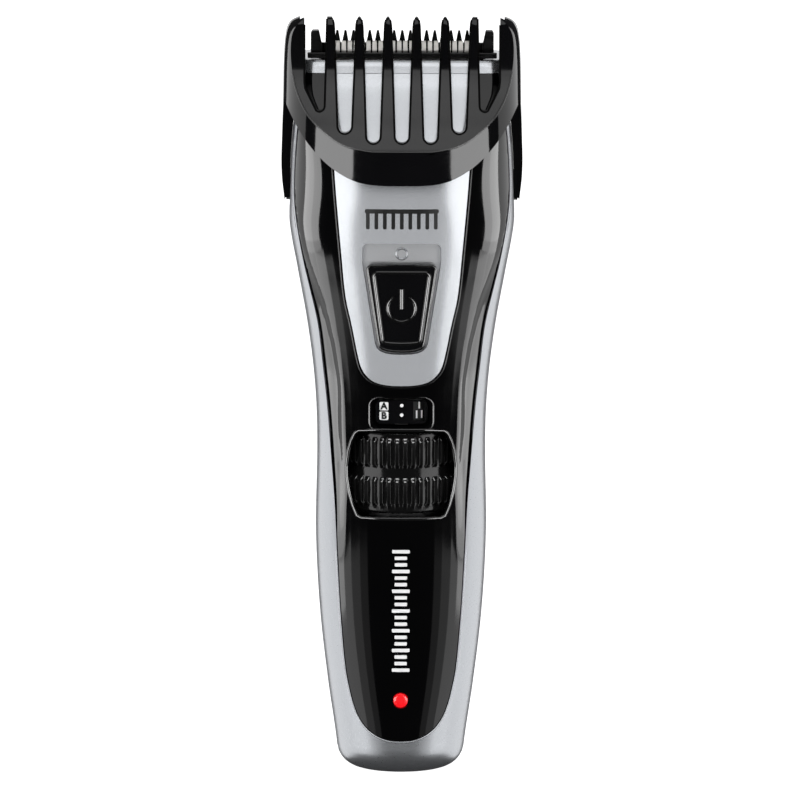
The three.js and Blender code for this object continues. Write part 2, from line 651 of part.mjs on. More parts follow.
batteryContact('battery_contact_top', CELL.top + GAP, CELL.top + 0.8);
batteryContact('battery_contact_bottom', 12.7, CELL.bottom - GAP);

piece('main_board', box([-7.8, -9.4, 12], [7.8, -8.2, 55]), 0x1f5a34, 0.5);
piece('charge_led', box([-1.2, -10.5, 16.4], [1.2, -9.7, 18.6]), 0xf4f0e4, 0.4);

const ledLens = dowel(0, 17.5, 1.7, -16, -10.9, 20).intersect(caseForm(0));
piece('led_lens', ledLens, 0xe3141b, 0.3);

const socketBody = post(0, 4.6, 3.1, 0.6, 12, 16).subtract(post(0, 4.6, 2.2, -1, 10, 16));
piece('charging_socket', socketBody, 0x161616, 0.5);
piece('socket_pin', post(0, 4.6, 0.6, 1.6, 9.7, 10), 0xd8d4c4, 0.25, 1);

// ---------- motor leads ----------

/** Insulated wire along a smooth path. */
function wire(points, radius = 0.7) {
  const path = new THREE.CatmullRomCurve3(points.map((point) => new THREE.Vector3(...point)));
  const section = new THREE.Shape();
  section.absarc(0, 0, radius, 0, 2 * Math.PI);
  const settings = { steps: 22, extrudePath: path, curveSegments: 4, bevelEnabled: false };
  return solid(new THREE.ExtrudeGeometry(section, settings));
}

const leadPath = (side) => [
  [side * 9.6, -5.5, 53], [side * 11.2, 0, 57], [side * 7.5, 10.8, 61], [side * 5.2, 13.2, 66],
  [side * 5.2, 13.4, 78], [side * 5.2, 13.0, 90], [side * 4.6, 10.2, 96.5], [side * 4.4, 8.2, 99.5],
];
piece('motor_lead_positive', wire(leadPath(1)), 0xc0201c, 0.5);
piece('motor_lead_negative', wire(leadPath(-1)), 0x151515, 0.5);

export default group;
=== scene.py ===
"""Hair clipper with a guide comb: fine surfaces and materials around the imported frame."""

import math

import bmesh
import bpy
import numpy as np
from mathutils import Euler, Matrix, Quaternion, Vector


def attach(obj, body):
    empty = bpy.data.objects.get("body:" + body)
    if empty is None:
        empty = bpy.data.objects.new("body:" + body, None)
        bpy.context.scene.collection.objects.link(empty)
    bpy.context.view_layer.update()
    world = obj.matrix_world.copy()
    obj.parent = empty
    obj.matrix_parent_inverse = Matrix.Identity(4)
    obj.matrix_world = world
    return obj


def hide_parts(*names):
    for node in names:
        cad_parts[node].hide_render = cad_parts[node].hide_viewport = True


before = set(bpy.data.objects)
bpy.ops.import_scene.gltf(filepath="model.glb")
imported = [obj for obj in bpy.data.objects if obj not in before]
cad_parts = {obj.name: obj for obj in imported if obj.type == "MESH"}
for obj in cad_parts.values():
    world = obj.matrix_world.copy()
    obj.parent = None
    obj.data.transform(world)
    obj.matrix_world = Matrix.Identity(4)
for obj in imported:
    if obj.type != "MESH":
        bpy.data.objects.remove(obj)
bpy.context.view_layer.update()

MM = 0.001
GAP = 0.25                   # dark seam between neighbouring covers, mm
WALL = 2.2                   # case wall, mm
BASE_ROUND = 4.8             # rounding between the flat base and the sides, mm
RING_POINTS = 144            # points round each cross-section
LEVEL_STEP = 1.3             # height between cross-sections, mm
SHELL_SPLIT = -7.0           # the front shell reaches back to here, mm
OUTSIDE = -40                # in front of everything, where cutting prisms start, mm
CASE_TOP = 160.0
CAVITY_TOP = 168             # the case's hollow runs out of its top, up to here, mm
CASE_SCREWS = ((-11, 36), (11, 36), (-17.8, 118), (17.8, 118))   # x and z, mm

COMB_SQUARENESS = 3.0
COMB_TOP = 172.6
COMB_FACE_FOOT = 143.9       # height where the comb's dished face begins, mm
TOOTH_PITCH = 6.4
# Slot number, counted from the middle, and the height of its foot in mm.
SLOT_FEET = {-2: 147.8, -1: 145.7, 0: 145.7, 1: 145.7, 2: 147.8}
SATIN_TOP = 160.4            # the comb's face is satin up to here, mm
RIM_TOP = 172.2              # the mouldings along the slots end here, mm

GUARD_PITCH = 1.82
CUTTER_PITCH = 1.38

WHEEL_Y = -3.1               # the wheel's axis, in front of the case's middle, mm
WHEEL_RADIUS = 14.2
WHEEL_RIBS = 48
RIB_ROWS = ((62.2, 68.8), (71.0, 77.8))
RIB_HEIGHT = 0.75
RIB_SLOPE = 0.9              # length of the sloping end of a rib, mm
DIAL_RADIUS = 12.9
SETTINGS = 10                # length steps on the dial

UPPER_MARK = 85.35           # height of the window's upper line, mm
LOWER_MARK = 83.15           # height of the window's lower line, mm
SYMBOL_HEIGHT = 108.0        # middle of the power sign, mm
LIGHT_HEIGHT = 17.5          # middle of the charging light, mm
SCALE_TICKS = 19
TICK_PITCH = 1.52
PICTURE_TEETH = 9            # teeth of the comb picture on the panel
PICTURE_PITCH = 1.9


# ---------- profiles along the height, in millimetres ----------

def profile(points):
    """Smooth curve through (height, value) points, held constant beyond both ends."""
    heights = np.array([p[0] for p in points], float)
    values = np.array([p[1] for p in points], float)
    slopes = np.empty(len(points))
    slopes[1:-1] = (values[2:] - values[:-2]) / (heights[2:] - heights[:-2])
    slopes[0] = (values[1] - values[0]) / (heights[1] - heights[0])
    slopes[-1] = (values[-1] - values[-2]) / (heights[-1] - heights[-2])

    def at(z):
        z = np.clip(z, heights[0], heights[-1])
        i = np.clip(np.searchsorted(heights, z) - 1, 0, len(points) - 2)
        span = heights[i + 1] - heights[i]
        t = (z - heights[i]) / span
        level = (2 * t**3 - 3 * t**2 + 1) * values[i] + (3 * t**2 - 2 * t**3) * values[i + 1]
        lean = (t**3 - 2 * t**2 + t) * slopes[i] + (t**3 - t**2) * slopes[i + 1]
        return level + span * lean

    return at


case_half_width = profile([
    (0, 14.0), (6, 14.5), (20, 16.5), (36, 18.3), (54, 19.25), (72, 19.0), (82, 19.15), (92, 19.9),
    (103, 21.4), (114, 23.4), (125, 25.3), (132, 25.2), (140, 24.9), (148, 24.3), (155, 23.4), (163, 22.4),
])
case_front = profile([
    (0, 13.6), (20, 15.0), (45, 16.0), (70, 17.0), (95, 18.4), (115, 19.8), (130, 20.8), (138, 21.0),
    (144, 20.0), (148, 18.0), (152, 15.6), (156, 13.4), (160, 11.8), (163, 10.8),
])
case_back = profile([
    (0, 13.6), (20, 15.2), (45, 16.6), (70, 17.2), (95, 17.0), (115, 16.2), (130, 14.8), (140, 13.2),
    (150, 10.4), (163, 6.4),
])
case_squareness = profile([
    (0, 2.0), (25, 2.4), (60, 2.5), (120, 2.8), (144, 3), (152, 6), (158, 9), (163, 9),
])

front_shell_half_width = profile([
    (9.1, 5.0), (11.7, 8.3), (16.5, 10.6), (23.4, 12.1), (36.9, 13.35), (49.8, 14.1), (62.4, 14.7),
    (71.5, 15.4), (85.2, 16.5), (94.3, 17.5), (103.5, 18.6), (112.6, 20.7), (117.2, 21.8), (126, 23.4),
    (132, 24.0), (140, 23.8), (148, 23.2), (155, 22.3), (162, 21.4),
])
panel_half_width = profile([
    (92.4, 8.2), (94.9, 9.3), (104.1, 11.2), (110.1, 12.5), (120, 13.5), (139, 15.1), (162, 16.2),
])
crease_half_width = profile([
    (60, 12.6), (71, 12.5), (79, 13.1), (92, 13.6), (108, 17.0), (122, 22.8), (126, 24.2),
])
crease_depth = profile([(50, 0.0), (62, 0.55), (80, 0.9), (100, 0.9), (118, 0.5), (127, 0.0)])

comb_half_width = profile([
    (128, 26.2), (131, 26.55), (135, 27.0), (139, 27.15), (145, 27.0), (154, 26.8), (163, 26.6),
    (168, 26.1), (170.5, 25.0), (172, 23.2), (COMB_TOP, 21.8),
])
comb_front = profile([(128, 22.3), (136, 22.6), (144, 23.4), (180, 23.4)])
comb_face = profile([
    (COMB_FACE_FOOT, -23.3), (145.6, -22.4), (148.2, -21.1), (152.1, -18.6), (157.5, -15.5), (163.1, -13.3),
    (168, -12.2), (171.2, -11.5), (172.2, -10.9), (173, -10.2),
])
# Lower edge of the comb's band, from the middle to the right: x and z.
band_edge = [(0, 136.2), (6.5, 136.4), (11, 137.4), (16, 140.3), (20.2, 144.3), (23.2, 148.2), (26.6, 154)]
comb_band_edge = profile([(-x, z) for x, z in band_edge[:0:-1]] + band_edge)


def section_at(z, grow=0.0):
    """Half-width, front depth, back depth and squareness of the case at a height."""
    dip = max(BASE_ROUND - z, 0.0)
    inset = BASE_ROUND - math.sqrt(BASE_ROUND**2 - dip**2) - grow
    return (
        float(case_half_width(z)) - inset,
        float(case_front(z)) - inset,
        float(case_back(z)) - inset,
        float(case_squareness(z)),
    )


def facet_dip(x, z):
    """How far the outer facets of the front lie below the raised middle."""
    edge = float(crease_half_width(z))
    t = min(max((abs(x) - edge) / 1.1, 0.0), 1.0)
    return float(crease_depth(z)) * t * t * (3 - 2 * t)


def front_y(x, z, grow=0.0):
    """Where the front surface of the case lies at x and z."""
    half, front, _, square = section_at(z, grow)
    across = min(abs(x) / half, 1.0)
    return -front * (1 - across**square) ** (1 / square) + facet_dip(x, z)


# ---------- mesh helpers, all in millimetres until a mesh is made ----------

def placed(name, data):
    """Object that shows a mesh, curve, light or camera."""
    thing = bpy.data.objects.new(name, data)
    bpy.context.scene.collection.objects.link(thing)
    return thing


def mesh_object(name, vertices, faces):
    """Object from millimetre vertices."""
    mesh = bpy.data.meshes.new(name)
    mesh.from_pydata([Vector(v) * MM for v in vertices], [], faces)
    mesh.update()
    return placed(name, mesh)


def curve_object(name, curve):
    """Mesh object made from a curve or a text."""
    made = placed(name, curve)
    graph = bpy.context.evaluated_depsgraph_get()
    mesh = bpy.data.meshes.new_from_object(made.evaluated_get(graph))
    bpy.data.objects.remove(made)
    return placed(name, mesh)


def lofted(name, rings, closed=False):
    """Closed solid through rings of points; closed joins the last ring to the first."""
    count = len(rings[0])
    vertices = [point for ring in rings for point in ring]
    faces = []
    spans = len(rings) if closed else len(rings) - 1
    for level in range(spans):
        upper = (level + 1) % len(rings)
        for i in range(count):
            j = (i + 1) % count
            faces.append((level * count + i, level * count + j, upper * count + j, upper * count + i))
    if not closed:
        faces.append(tuple(reversed(range(count))))
        faces.append(tuple(range((len(rings) - 1) * count, len(rings) * count)))
    return mesh_object(name, vertices, faces)


def superellipse(z, half, front, back, square, dip=None):
    """One cross-section of the case or the comb."""
    points = []
    for i in range(RING_POINTS):
        angle = 2 * math.pi * i / RING_POINTS
        across = math.copysign(abs(math.cos(angle)) ** (2 / square), math.cos(angle))
        along = math.copysign(abs(math.sin(angle)) ** (2 / square), math.sin(angle))
        x = half * across
        y = (front if along < 0 else back) * along
        if dip and along < 0:
            y += dip(x, z) * min(1.0, -along * 3)
        points.append((x, y, z))
    return points


def heights(low, high, step=LEVEL_STEP):
    """Evenly spaced heights, closer together on the rounded base."""
    base = [h for h in (0, 0.15, 0.45, 0.9, 1.5, 2.3, 3.4) if low <= h < min(high, 4)]
    start = max(low, BASE_ROUND) if base else low
    count = max(int((high - start) / step), 1)
    return base + list(np.linspace(start, high, count + 1))


def case_form(name, grow, low=0.0, high=CASE_TOP, step=LEVEL_STEP, dipped=True):
    """The case's outer form, grown or shrunk by a distance."""
    dip = facet_dip if dipped else None
    rings = [superellipse(z, *section_at(z, grow), dip) for z in heights(low, high, step)]
    return lofted(name, rings)


def front_prism(name, outline, y_low, y_high):
    """Outline in x and z (counter-clockwise from the front), pushed through along y."""
    rings = [[(x, y, z) for x, z in outline] for y in (y_high, y_low)]
    return lofted(name, rings)


def side_prism(name, outline, x_low, x_high):
    """Outline in y and z, pushed through along x."""
    rings = [[(x, y, z) for y, z in outline] for x in (x_low, x_high)]
    return lofted(name, rings)


def tapered_prism(name, inner, y_inner, outer, y_outer):
    """Cutter whose outline grows from inner, deep in, to outer, at the surface."""
    rings = [[(x, y_inner, z) for x, z in inner], [(x, y_outer, z) for x, z in outer]]
    return lofted(name, rings)


def box(name, low, high):
    """Box from its lowest to its highest corner."""
    outline = [(low[0], low[2]), (high[0], low[2]), (high[0], high[2]), (low[0], high[2])]
    return front_prism(name, outline, low[1], high[1])


def circle(x, z, radius, count=40):
    """Round outline in x and z."""
    return [
        (x + radius * math.cos(2 * math.pi * i / count), z + radius * math.sin(2 * math.pi * i / count))
        for i in range(count)
    ]


def upright_tube(name, x, y, outer, inner, bottom, top, sides=96, bevel=0.3):
    """Ring with bevelled edges, standing along z."""
    section = [
        (inner, bottom), (outer - bevel, bottom), (outer, bottom + bevel),
        (outer, top - bevel), (outer - bevel, top), (inner, top),
    ]
    rings = []
    for i in range(sides):
        angle = 2 * math.pi * i / sides
        rings.append([(x + r * math.cos(angle), y + r * math.sin(angle), z) for r, z in section])
    return lofted(name, rings, closed=True)


def outward(thing):
    """Turns all faces of a closed mesh outward."""
    work = bmesh.new()
    work.from_mesh(thing.data)
    bmesh.ops.recalc_face_normals(work, faces=work.faces)
    work.to_mesh(thing.data)
    work.free()
    return thing


def baked(thing):
    """Applies the object's modifiers to its mesh."""
    graph = bpy.context.evaluated_depsgraph_get()
    mesh = bpy.data.meshes.new_from_object(thing.evaluated_get(graph))
    thing.modifiers.clear()
    thing.data = mesh
    return thing


def combine(thing, other, operation="DIFFERENCE"):
    """Boolean with another object, which is used up."""
    outward(thing)
    outward(other)
    change = thing.modifiers.new("combine", "BOOLEAN")
    change.operation = operation
    change.object = other
    change.solver = "MANIFOLD"
    baked(thing)
    bpy.data.objects.remove(other)
    return thing


def cut(thing, outline, back=-5, front=OUTSIDE):
    """Cuts an outline in x and z out of a piece, from front to back along y."""
    return combine(thing, front_prism("cut", outline, front, back))


def softened(thing, width, segments=2, angle=32, chosen=None):
    """Rounds the sharp edges by a width in millimetres; chosen may scale it for each edge."""
    work = bmesh.new()
    work.from_mesh(thing.data)
    bmesh.ops.remove_doubles(work, verts=work.verts, dist=0.004 * MM)
    bmesh.ops.dissolve_degenerate(work, edges=work.edges, dist=0.01 * MM)
    weight = work.edges.layers.float.new("bevel_weight_edge")
    for edge in work.edges:
        sharp = len(edge.link_faces) == 2 and edge.calc_face_angle(0.0) > math.radians(angle)
        edge[weight] = (chosen(edge) if chosen else 1.0) if sharp else 0.0
    work.to_mesh(thing.data)
    work.free()
    bevel = thing.modifiers.new("soft", "BEVEL")
    bevel.width = width * MM
    bevel.segments = segments
    bevel.limit_method = "WEIGHT"
    bevel.use_clamp_overlap = False
    bevel.miter_outer = "MITER_ARC"
    return baked(thing)


def smoothed(thing, angle=30):
    """Smooth shading with edges sharper than the angle kept crisp."""
    work = bmesh.new()
    work.from_mesh(thing.data)
    for face in work.faces:
        face.smooth = True
    limit = math.radians(angle)
    for edge in work.edges:
        if len(edge.link_faces) == 2:
            edge.smooth = edge.calc_face_angle(0.0) < limit
    work.to_mesh(thing.data)
    work.free()
    weigh = thing.modifiers.new("weigh", "WEIGHTED_NORMAL")
    weigh.keep_sharp = True
    weigh.weight = 80
    return thing


def rod(name, points, radius, cyclic=False, sides=3):
    """Round moulding along points."""
    curve = bpy.data.curves.new(name, "CURVE")
    curve.dimensions = "3D"
    curve.bevel_depth = radius * MM
    curve.bevel_resolution = sides
    curve.use_fill_caps = True
    spline = curve.splines.new("POLY")
    spline.points.add(len(points) - 1)
    for target, point in zip(spline.points, points):
        target.co = (point[0] * MM, point[1] * MM, point[2] * MM, 1)
    spline.use_cyclic_u = cyclic
    thing = curve_object(name, curve)
    for face in thing.data.polygons:
        face.use_smooth = True
    return thing


def joined(name, things):
    """Joins objects into one, keeping their material slots."""
    with bpy.context.temp_override(active_object=things[0], selected_editable_objects=things):
        bpy.ops.object.join()
    things[0].name = name
    return things[0]


# ---------- outlines in x and z ----------

def mirrored(right_side):
    """Counter-clockwise outline from its right-hand points, listed bottom to top."""
    left = [(-x, z) for x, z in reversed(right_side) if x > 0]
    return list(right_side) + left


def arc(x, z, radius, start, end, count=8):
    """Points on an arc, with angles in degrees."""
    angles = np.radians(np.linspace(start, end, count + 1))
    return [(x + radius * math.cos(a), z + radius * math.sin(a)) for a in angles]


def rounded_rectangle(half, bottom, top, radius):
    """Rectangle with round corners, centred on x = 0."""
    lower = arc(half - radius, bottom + radius, radius, -90, 0)
    upper = arc(half - radius, top - radius, radius, 0, 90)
    return mirrored(lower + upper)


def blended(p, q, r, s, t):
    """Catmull-Rom value between q and r, at a share t of the way."""
    square = (2 * p - 5 * q + 4 * r - s) * t**2
    cube = (3 * q - p - 3 * r + s) * t**3
    return 0.5 * (2 * q + (r - p) * t + square + cube)


def flowing(points, steps=5):
    """Smooth curve through points (Catmull-Rom), keeping both ends."""
    padded = [points[0]] + list(points) + [points[-1]]
    curve = []
    for a, b, c, d in zip(padded, padded[1:], padded[2:], padded[3:]):
        for step in range(steps):
            t = step / steps
            curve.append(tuple(blended(*values, t) for values in zip(a, b, c, d)))
    return curve + [points[-1]]


def front_shell_side(grow=0.0):
    """Right side of the black front shell, from the middle of its foot upward."""
    foot = [(0, 8.2 - grow), (2.6, 8.35 - grow), (4.9 + grow * 0.5, 9.05 - grow * 0.7)]
    knees = [(6.8, 10.2), (8.3, 11.75), (9.6, 13.9), (10.6, 16.6), (11.4, 19.8)]
    knees = [(x + grow * 0.9, z - grow * 0.3) for x, z in knees]
    side = [(float(front_shell_half_width(z)) + grow, z) for z in np.arange(23.4, 161, 1.5)]
    return flowing(foot + knees + side[:2]) + side[2:]


def front_shell_outline(grow=0.0, top=170.0):
    """Black front shell: a long U, open at the head."""
    side = front_shell_side(grow)
    return mirrored(side + [(side[-1][0], top)])


def panel_side(grow=0.0):
    """Right side of the silver inlay, from the middle of its foot upward."""
    foot = [(0, 90.1), (2.4, 90.17), (4.6, 90.5), (6.3, 91.1), (7.6, 92.1), (8.6, 93.4), (9.35, 95.2)]
    foot = [(x + grow * min(x / 6, 1), z - grow * max(1 - x / 12, 0.2)) for x, z in foot]
    side = [(float(panel_half_width(z)) + grow, z) for z in np.arange(98, 161, 1.5)]
    return flowing(foot + side[:2]) + side[2:]


def panel_outline(grow=0.0, top=170.0):
    """Silver inlay: narrow and rounded at the foot, wider at the head."""
    side = panel_side(grow)
    return mirrored(side + [(side[-1][0], top)])


def recess_outline(grow=0.0):
    """Recess that the power slider moves in."""
    side = [(0, 97.3 - grow), (2.0, 97.35 - grow), (3.6, 97.6 - grow), (4.8, 98.1 - grow)]
    side += [(5.6 + grow, 98.9), (5.95 + grow, 99.9), (8.8 + grow, 118)]
    side += arc(7.5, 121.5, 1.3 + grow, 0, 90)
    return mirrored(side)


def slider_outline(grow=0.0):
    """The power slider: a trapezoid with a round foot."""
    side = [(0, 97.8 - grow), (1.8, 97.85 - grow), (3.3, 98.1 - grow), (4.4, 98.5 - grow)]
    side += [(5.15 + grow, 99.2), (5.45 + grow, 100.1), (7.95 + grow, 116.6)]
    side += arc(6.75, 116.8, 1.2 + grow, 0, 90, 6)
    return mirrored(side)


def wheel_opening_outline(grow=0.0):
    """Barrel-shaped opening that the wheel shows through."""
    side = [(0, 59.7 - grow), (5, 59.7 - grow), (9.0, 59.8 - grow), (9.7 + grow * 0.7, 60.2 - grow * 0.7)]
    side += [(10.6 + grow, 62.5), (11.5 + grow, 65.6), (12.0 + grow, 68.8), (12.05 + grow, 71.5)]
    side += [(11.6 + grow, 74.8), (10.9 + grow, 77.2), (10.1 + grow, 79.0)]
    side += [(9.4 + grow * 0.7, 79.5 + grow * 0.7), (5, 79.7 + grow), (0, 79.7 + grow)]
    return mirrored(side)


def slot_sides(x, foot, grow=0.0):
    """Round foot, right side and left side of one slot between two comb teeth."""
    foot_radius = 1.6
    foot_arc = arc(x, foot + foot_radius, foot_radius + grow, 180, 360, 14)
    side = [(2.15, 163), (2.42, 170.4), (2.5, 171.3), (2.66, 172.0), (2.92, 172.5), (3.3, 172.9), (3.3, 175)]
    right = [(x + across + grow, z) for across, z in side]
    left = [(x - across - grow, z) for across, z in side[::-1]]
    return foot_arc, right, left


def slot_outline(x, foot):
    """One slot between two comb teeth: round at its foot and open at the tips."""
    foot_arc, right, left = slot_sides(x, foot)
    return foot_arc + right + left


def corner_slot_foot():
    """Foot and lower outer side of the right corner slot."""
    return arc(18.5, 153.5, 1.2, 180, 305, 8) + [(21.2, 156.2), (21.7, 157.2), (21.9, 158.6)]


def corner_slot_outline(side):
    """Slot at the comb's corner, with a slanting outer side and rounded corners."""
    points = corner_slot_foot() + [(21.9, 175), (16.8, 175), (17.05, 163)]
    points = [(side * x, z) for x, z in points]
    return points if side > 0 else points[::-1]


# ---------- materials ----------

def new_material(name, **values):
    """Principled material and its nodes; values go straight on the shader's sockets."""
    material = bpy.data.materials.new(name)
    material.use_nodes = True
    tree = material.node_tree
    shader = tree.nodes["Principled BSDF"]
    for key, value in values.items():
        shader.inputs[key.replace("_", " ")].default_value = value
    return material, tree, shader


def noise(tree, scale, detail=3.0, roughness=0.5, stretch=(1, 1, 1)):
    """Noise in object space, with a size given in 1/m."""
    place = tree.nodes.new("ShaderNodeTexCoord")
    shape = tree.nodes.new("ShaderNodeMapping")
    shape.inputs["Scale"].default_value = stretch
    texture = tree.nodes.new("ShaderNodeTexNoise")
    texture.inputs["Scale"].default_value = scale
    texture.inputs["Detail"].default_value = detail
    texture.inputs["Roughness"].default_value = roughness
    tree.links.new(place.outputs["Object"], shape.inputs["Vector"])
    tree.links.new(shape.outputs["Vector"], texture.inputs["Vector"])
    return texture.outputs["Fac"]


NOISE_LOW = 0.3    # noise seldom leaves these two levels
NOISE_HIGH = 0.7


def spread(tree, value, low, high):
    """Maps noise to low..high."""
    node = tree.nodes.new("ShaderNodeMapRange")
    node.inputs["From Min"].default_value = NOISE_LOW
    node.inputs["From Max"].default_value = NOISE_HIGH
    node.inputs["To Min"].default_value = low
    node.inputs["To Max"].default_value = high
    tree.links.new(value, node.inputs["Value"])
    return node.outputs["Result"]


def tinted(tree, value, dark, light):
    """Maps noise to a colour between dark and light."""
    ramp = tree.nodes.new("ShaderNodeValToRGB")
    levels = (NOISE_LOW, NOISE_HIGH)
    for element, level, colour in zip(ramp.color_ramp.elements, levels, (dark, light)):
        element.position = level
        element.color = (*colour, 1)
    tree.links.new(value, ramp.inputs["Fac"])
    return ramp.outputs["Color"]


def bumped(tree, shader, value, strength, distance=0.0001):
    """Bump from a value, added to the shader's normal."""
    node = tree.nodes.new("ShaderNodeBump")
    node.inputs["Strength"].default_value = strength
    node.inputs["Distance"].default_value = distance
    tree.links.new(value, node.inputs["Height"])
    tree.links.new(node.outputs["Normal"], shader.inputs["Normal"])


def grey(level):
    """Colour with three equal parts."""
    return (level, level, level)


def plastic(name, dark, light, rough, grain, bump, specular, coat=0.0):
    """Moulded plastic with a slight change of tone and gloss."""
    values = {"Specular_IOR_Level": specular, "Coat_Weight": coat, "Coat_Roughness": 0.03}
    material, tree, shader = new_material(name, **values)
    tree.links.new(tinted(tree, noise(tree, 60, 2.0), dark, light), shader.inputs["Base Color"])
    tree.links.new(spread(tree, noise(tree, 220, 4.0), *rough), shader.inputs["Roughness"])
    bumped(tree, shader, noise(tree, grain, 2.0), bump)
    return material


def metal_paint(name, dark, light, rough, metallic, grain=0.05):
    """Silver paint: fine metal flakes under a thin clear coat."""
    material, tree, shader = new_material(name, Metallic=metallic, Coat_Weight=0.2, Coat_Roughness=0.1)
    flakes = noise(tree, 9000, 2.0, 0.7)
    tree.links.new(tinted(tree, flakes, dark, light), shader.inputs["Base Color"])
    tree.links.new(spread(tree, noise(tree, 2600, 3.0), *rough), shader.inputs["Roughness"])
    bumped(tree, shader, noise(tree, 7000, 2.0), grain, 0.00001)
    return material


def brushed_metal(name, dark, light, rough, stretch, bump=0.15, metallic=1.0):
    """Metal with fine grinding marks along one direction."""
    material, tree, shader = new_material(name, Metallic=metallic)
    lines = noise(tree, 900, 4.0, 0.6, stretch)
    tree.links.new(tinted(tree, lines, dark, light), shader.inputs["Base Color"])
    tree.links.new(spread(tree, lines, *rough), shader.inputs["Roughness"])
    bumped(tree, shader, lines, bump, 0.00003)
    return material


gloss_black = plastic("gloss_black", (0.0025, 0.0025, 0.003), (0.004, 0.004, 0.0045),
                      (0.05, 0.09), 500, 0.012, 0.62)
edge_black = plastic("edge_black", grey(0.003), grey(0.005), (0.08, 0.12), 900, 0.01, 1.0, 1.0)
satin_black = plastic("satin_black", (0.010, 0.010, 0.0105), (0.014, 0.014, 0.0145),
                      (0.20, 0.26), 2600, 0.04, 0.7)
wheel_black = plastic("wheel_black", grey(0.003), grey(0.006), (0.12, 0.18), 1800, 0.03, 0.8)
rib_black = plastic("rib_black", grey(0.003), grey(0.006), (0.42, 0.5), 1800, 0.03, 0.08)
rim_black = plastic("rim_black", grey(0.002), grey(0.003), (0.3, 0.4), 1800, 0.02, 0.06)
ring_black = plastic("ring_black", grey(0.003), grey(0.006), (0.45, 0.55), 1800, 0.03, 0.2)
clamp_black = plastic("clamp_black", grey(0.004), grey(0.007), (0.18, 0.26), 1200, 0.05, 0.5)
inner_black = plastic("inner_black", grey(0.015), grey(0.03), (0.45, 0.6), 1500, 0.12, 0.4)
inner_white = plastic("inner_white", (0.62, 0.60, 0.54), (0.72, 0.70, 0.64), (0.4, 0.55), 1500, 0.08, 0.5)
print_white = plastic("print_white", grey(0.80), grey(0.88), (0.4, 0.5), 2600, 0.02, 0.4)
print_black = plastic("print_black", grey(0.004), grey(0.007), (0.3, 0.4), 2600, 0.02, 0.4)
circuit_green = plastic("circuit_green", (0.01, 0.10, 0.035), (0.02, 0.16, 0.06), (0.3, 0.45), 900, 0.2, 0.5)
battery_blue = plastic("battery_blue", (0.03, 0.09, 0.34), (0.04, 0.12, 0.42), (0.25, 0.35), 700, 0.05, 0.5)
lead_red = plastic("lead_red", (0.45, 0.012, 0.012), (0.55, 0.02, 0.02), (0.35, 0.45), 1500, 0.1, 0.5)
silver_paint = metal_paint("silver_paint", (0.56, 0.58, 0.61), (0.66, 0.68, 0.71), (0.27, 0.33), 0.85)
panel_silver = metal_paint("panel_silver", (0.62, 0.64, 0.67), (0.72, 0.74, 0.77), (0.19, 0.24), 0.85)
tray_silver = metal_paint("tray_silver", (0.72, 0.73, 0.75), (0.78, 0.79, 0.81), (0.34, 0.40), 0.6, 0.01)
steel = brushed_metal("steel", grey(0.50), grey(0.66), (0.22, 0.36), (1, 1, 0.1))
blade_steel = brushed_metal("blade_steel", (0.80, 0.78, 0.74), (0.92, 0.90, 0.87),
                            (0.38, 0.48), (1, 1, 0.06), 0.15, 0.7)
blade_black = brushed_metal("blade_black", grey(0.018), grey(0.035), (0.25, 0.38), (0.1, 1, 1))
contact_metal = brushed_metal("contact_metal", (0.55, 0.48, 0.30), (0.70, 0.63, 0.42),
                              (0.2, 0.3), (1, 0.1, 1))


def red_lens():
    """Clear red moulding over the charging light."""
    glow = {"Emission_Color": (1.0, 0.01, 0.015, 1), "Emission_Strength": 0.35}
    material, tree, shader = new_material("led_red", Coat_Weight=0.5, **glow)
    colour = tinted(tree, noise(tree, 900, 2.0), (0.70, 0.004, 0.008), (0.85, 0.012, 0.018))
    tree.links.new(colour, shader.inputs["Base Color"])
    tree.links.new(spread(tree, noise(tree, 600, 2.0), 0.15, 0.25), shader.inputs["Roughness"])
    return material


led_red = red_lens()


def finish(thing, material, body, nodes):
    """Gives a piece its material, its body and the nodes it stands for."""
    thing.data.materials.clear()
    thing.data.materials.append(material)
    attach(thing, body)
    if nodes:
        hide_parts(*nodes)


# ---------- case ----------

def make_front_shell():
    """Gloss black front with its openings and the raised middle."""
    cavity = case_form("front_cavity", -WALL, WALL, CAVITY_TOP, 2 * LEVEL_STEP, False)
    shell = combine(case_form("front_case", 0.0), cavity)
    combine(shell, front_prism("front_area", front_shell_outline(), OUTSIDE, SHELL_SPLIT), "INTERSECT")
    pocket = front_prism("panel_area", panel_outline(GAP), OUTSIDE, -1)
    combine(pocket, case_form("panel_floor", -1.3, 80, CAVITY_TOP))
    combine(shell, pocket)
    cut(shell, recess_outline(GAP), -10)
    cut(shell, rounded_rectangle(5.9, 81.2, 86.8, 1.3), -8)
    mouth = tapered_prism("lens_mouth", rounded_rectangle(6.0, 81.0, 86.9, 1.4), -16.2,
                          rounded_rectangle(7.3, 79.6, 87.5, 2.2), -18.4)
    combine(shell, mouth)
    cut(shell, wheel_opening_outline(), -8)
    combine(shell, upright_tube("wheel_room", 0, WHEEL_Y, WHEEL_RADIUS + 0.4, 0.5, 60.1, 79.6, 64, 0.1))
    combine(shell, upright_tube("ring_room", 0, WHEEL_Y, DIAL_RADIUS + 0.3, 0.5, 79.2, 87.8, 64, 0.1))
    combine(shell, box("cutter_room", (-18.4, -9.3, 150), (18.4, 0, 165)))
    cut(shell, circle(0, LIGHT_HEIGHT, 1.85), -8, -20)
    return smoothed(shell)


front_shell = make_front_shell()
finish(front_shell, gloss_black, "housing", ["front_shell"])


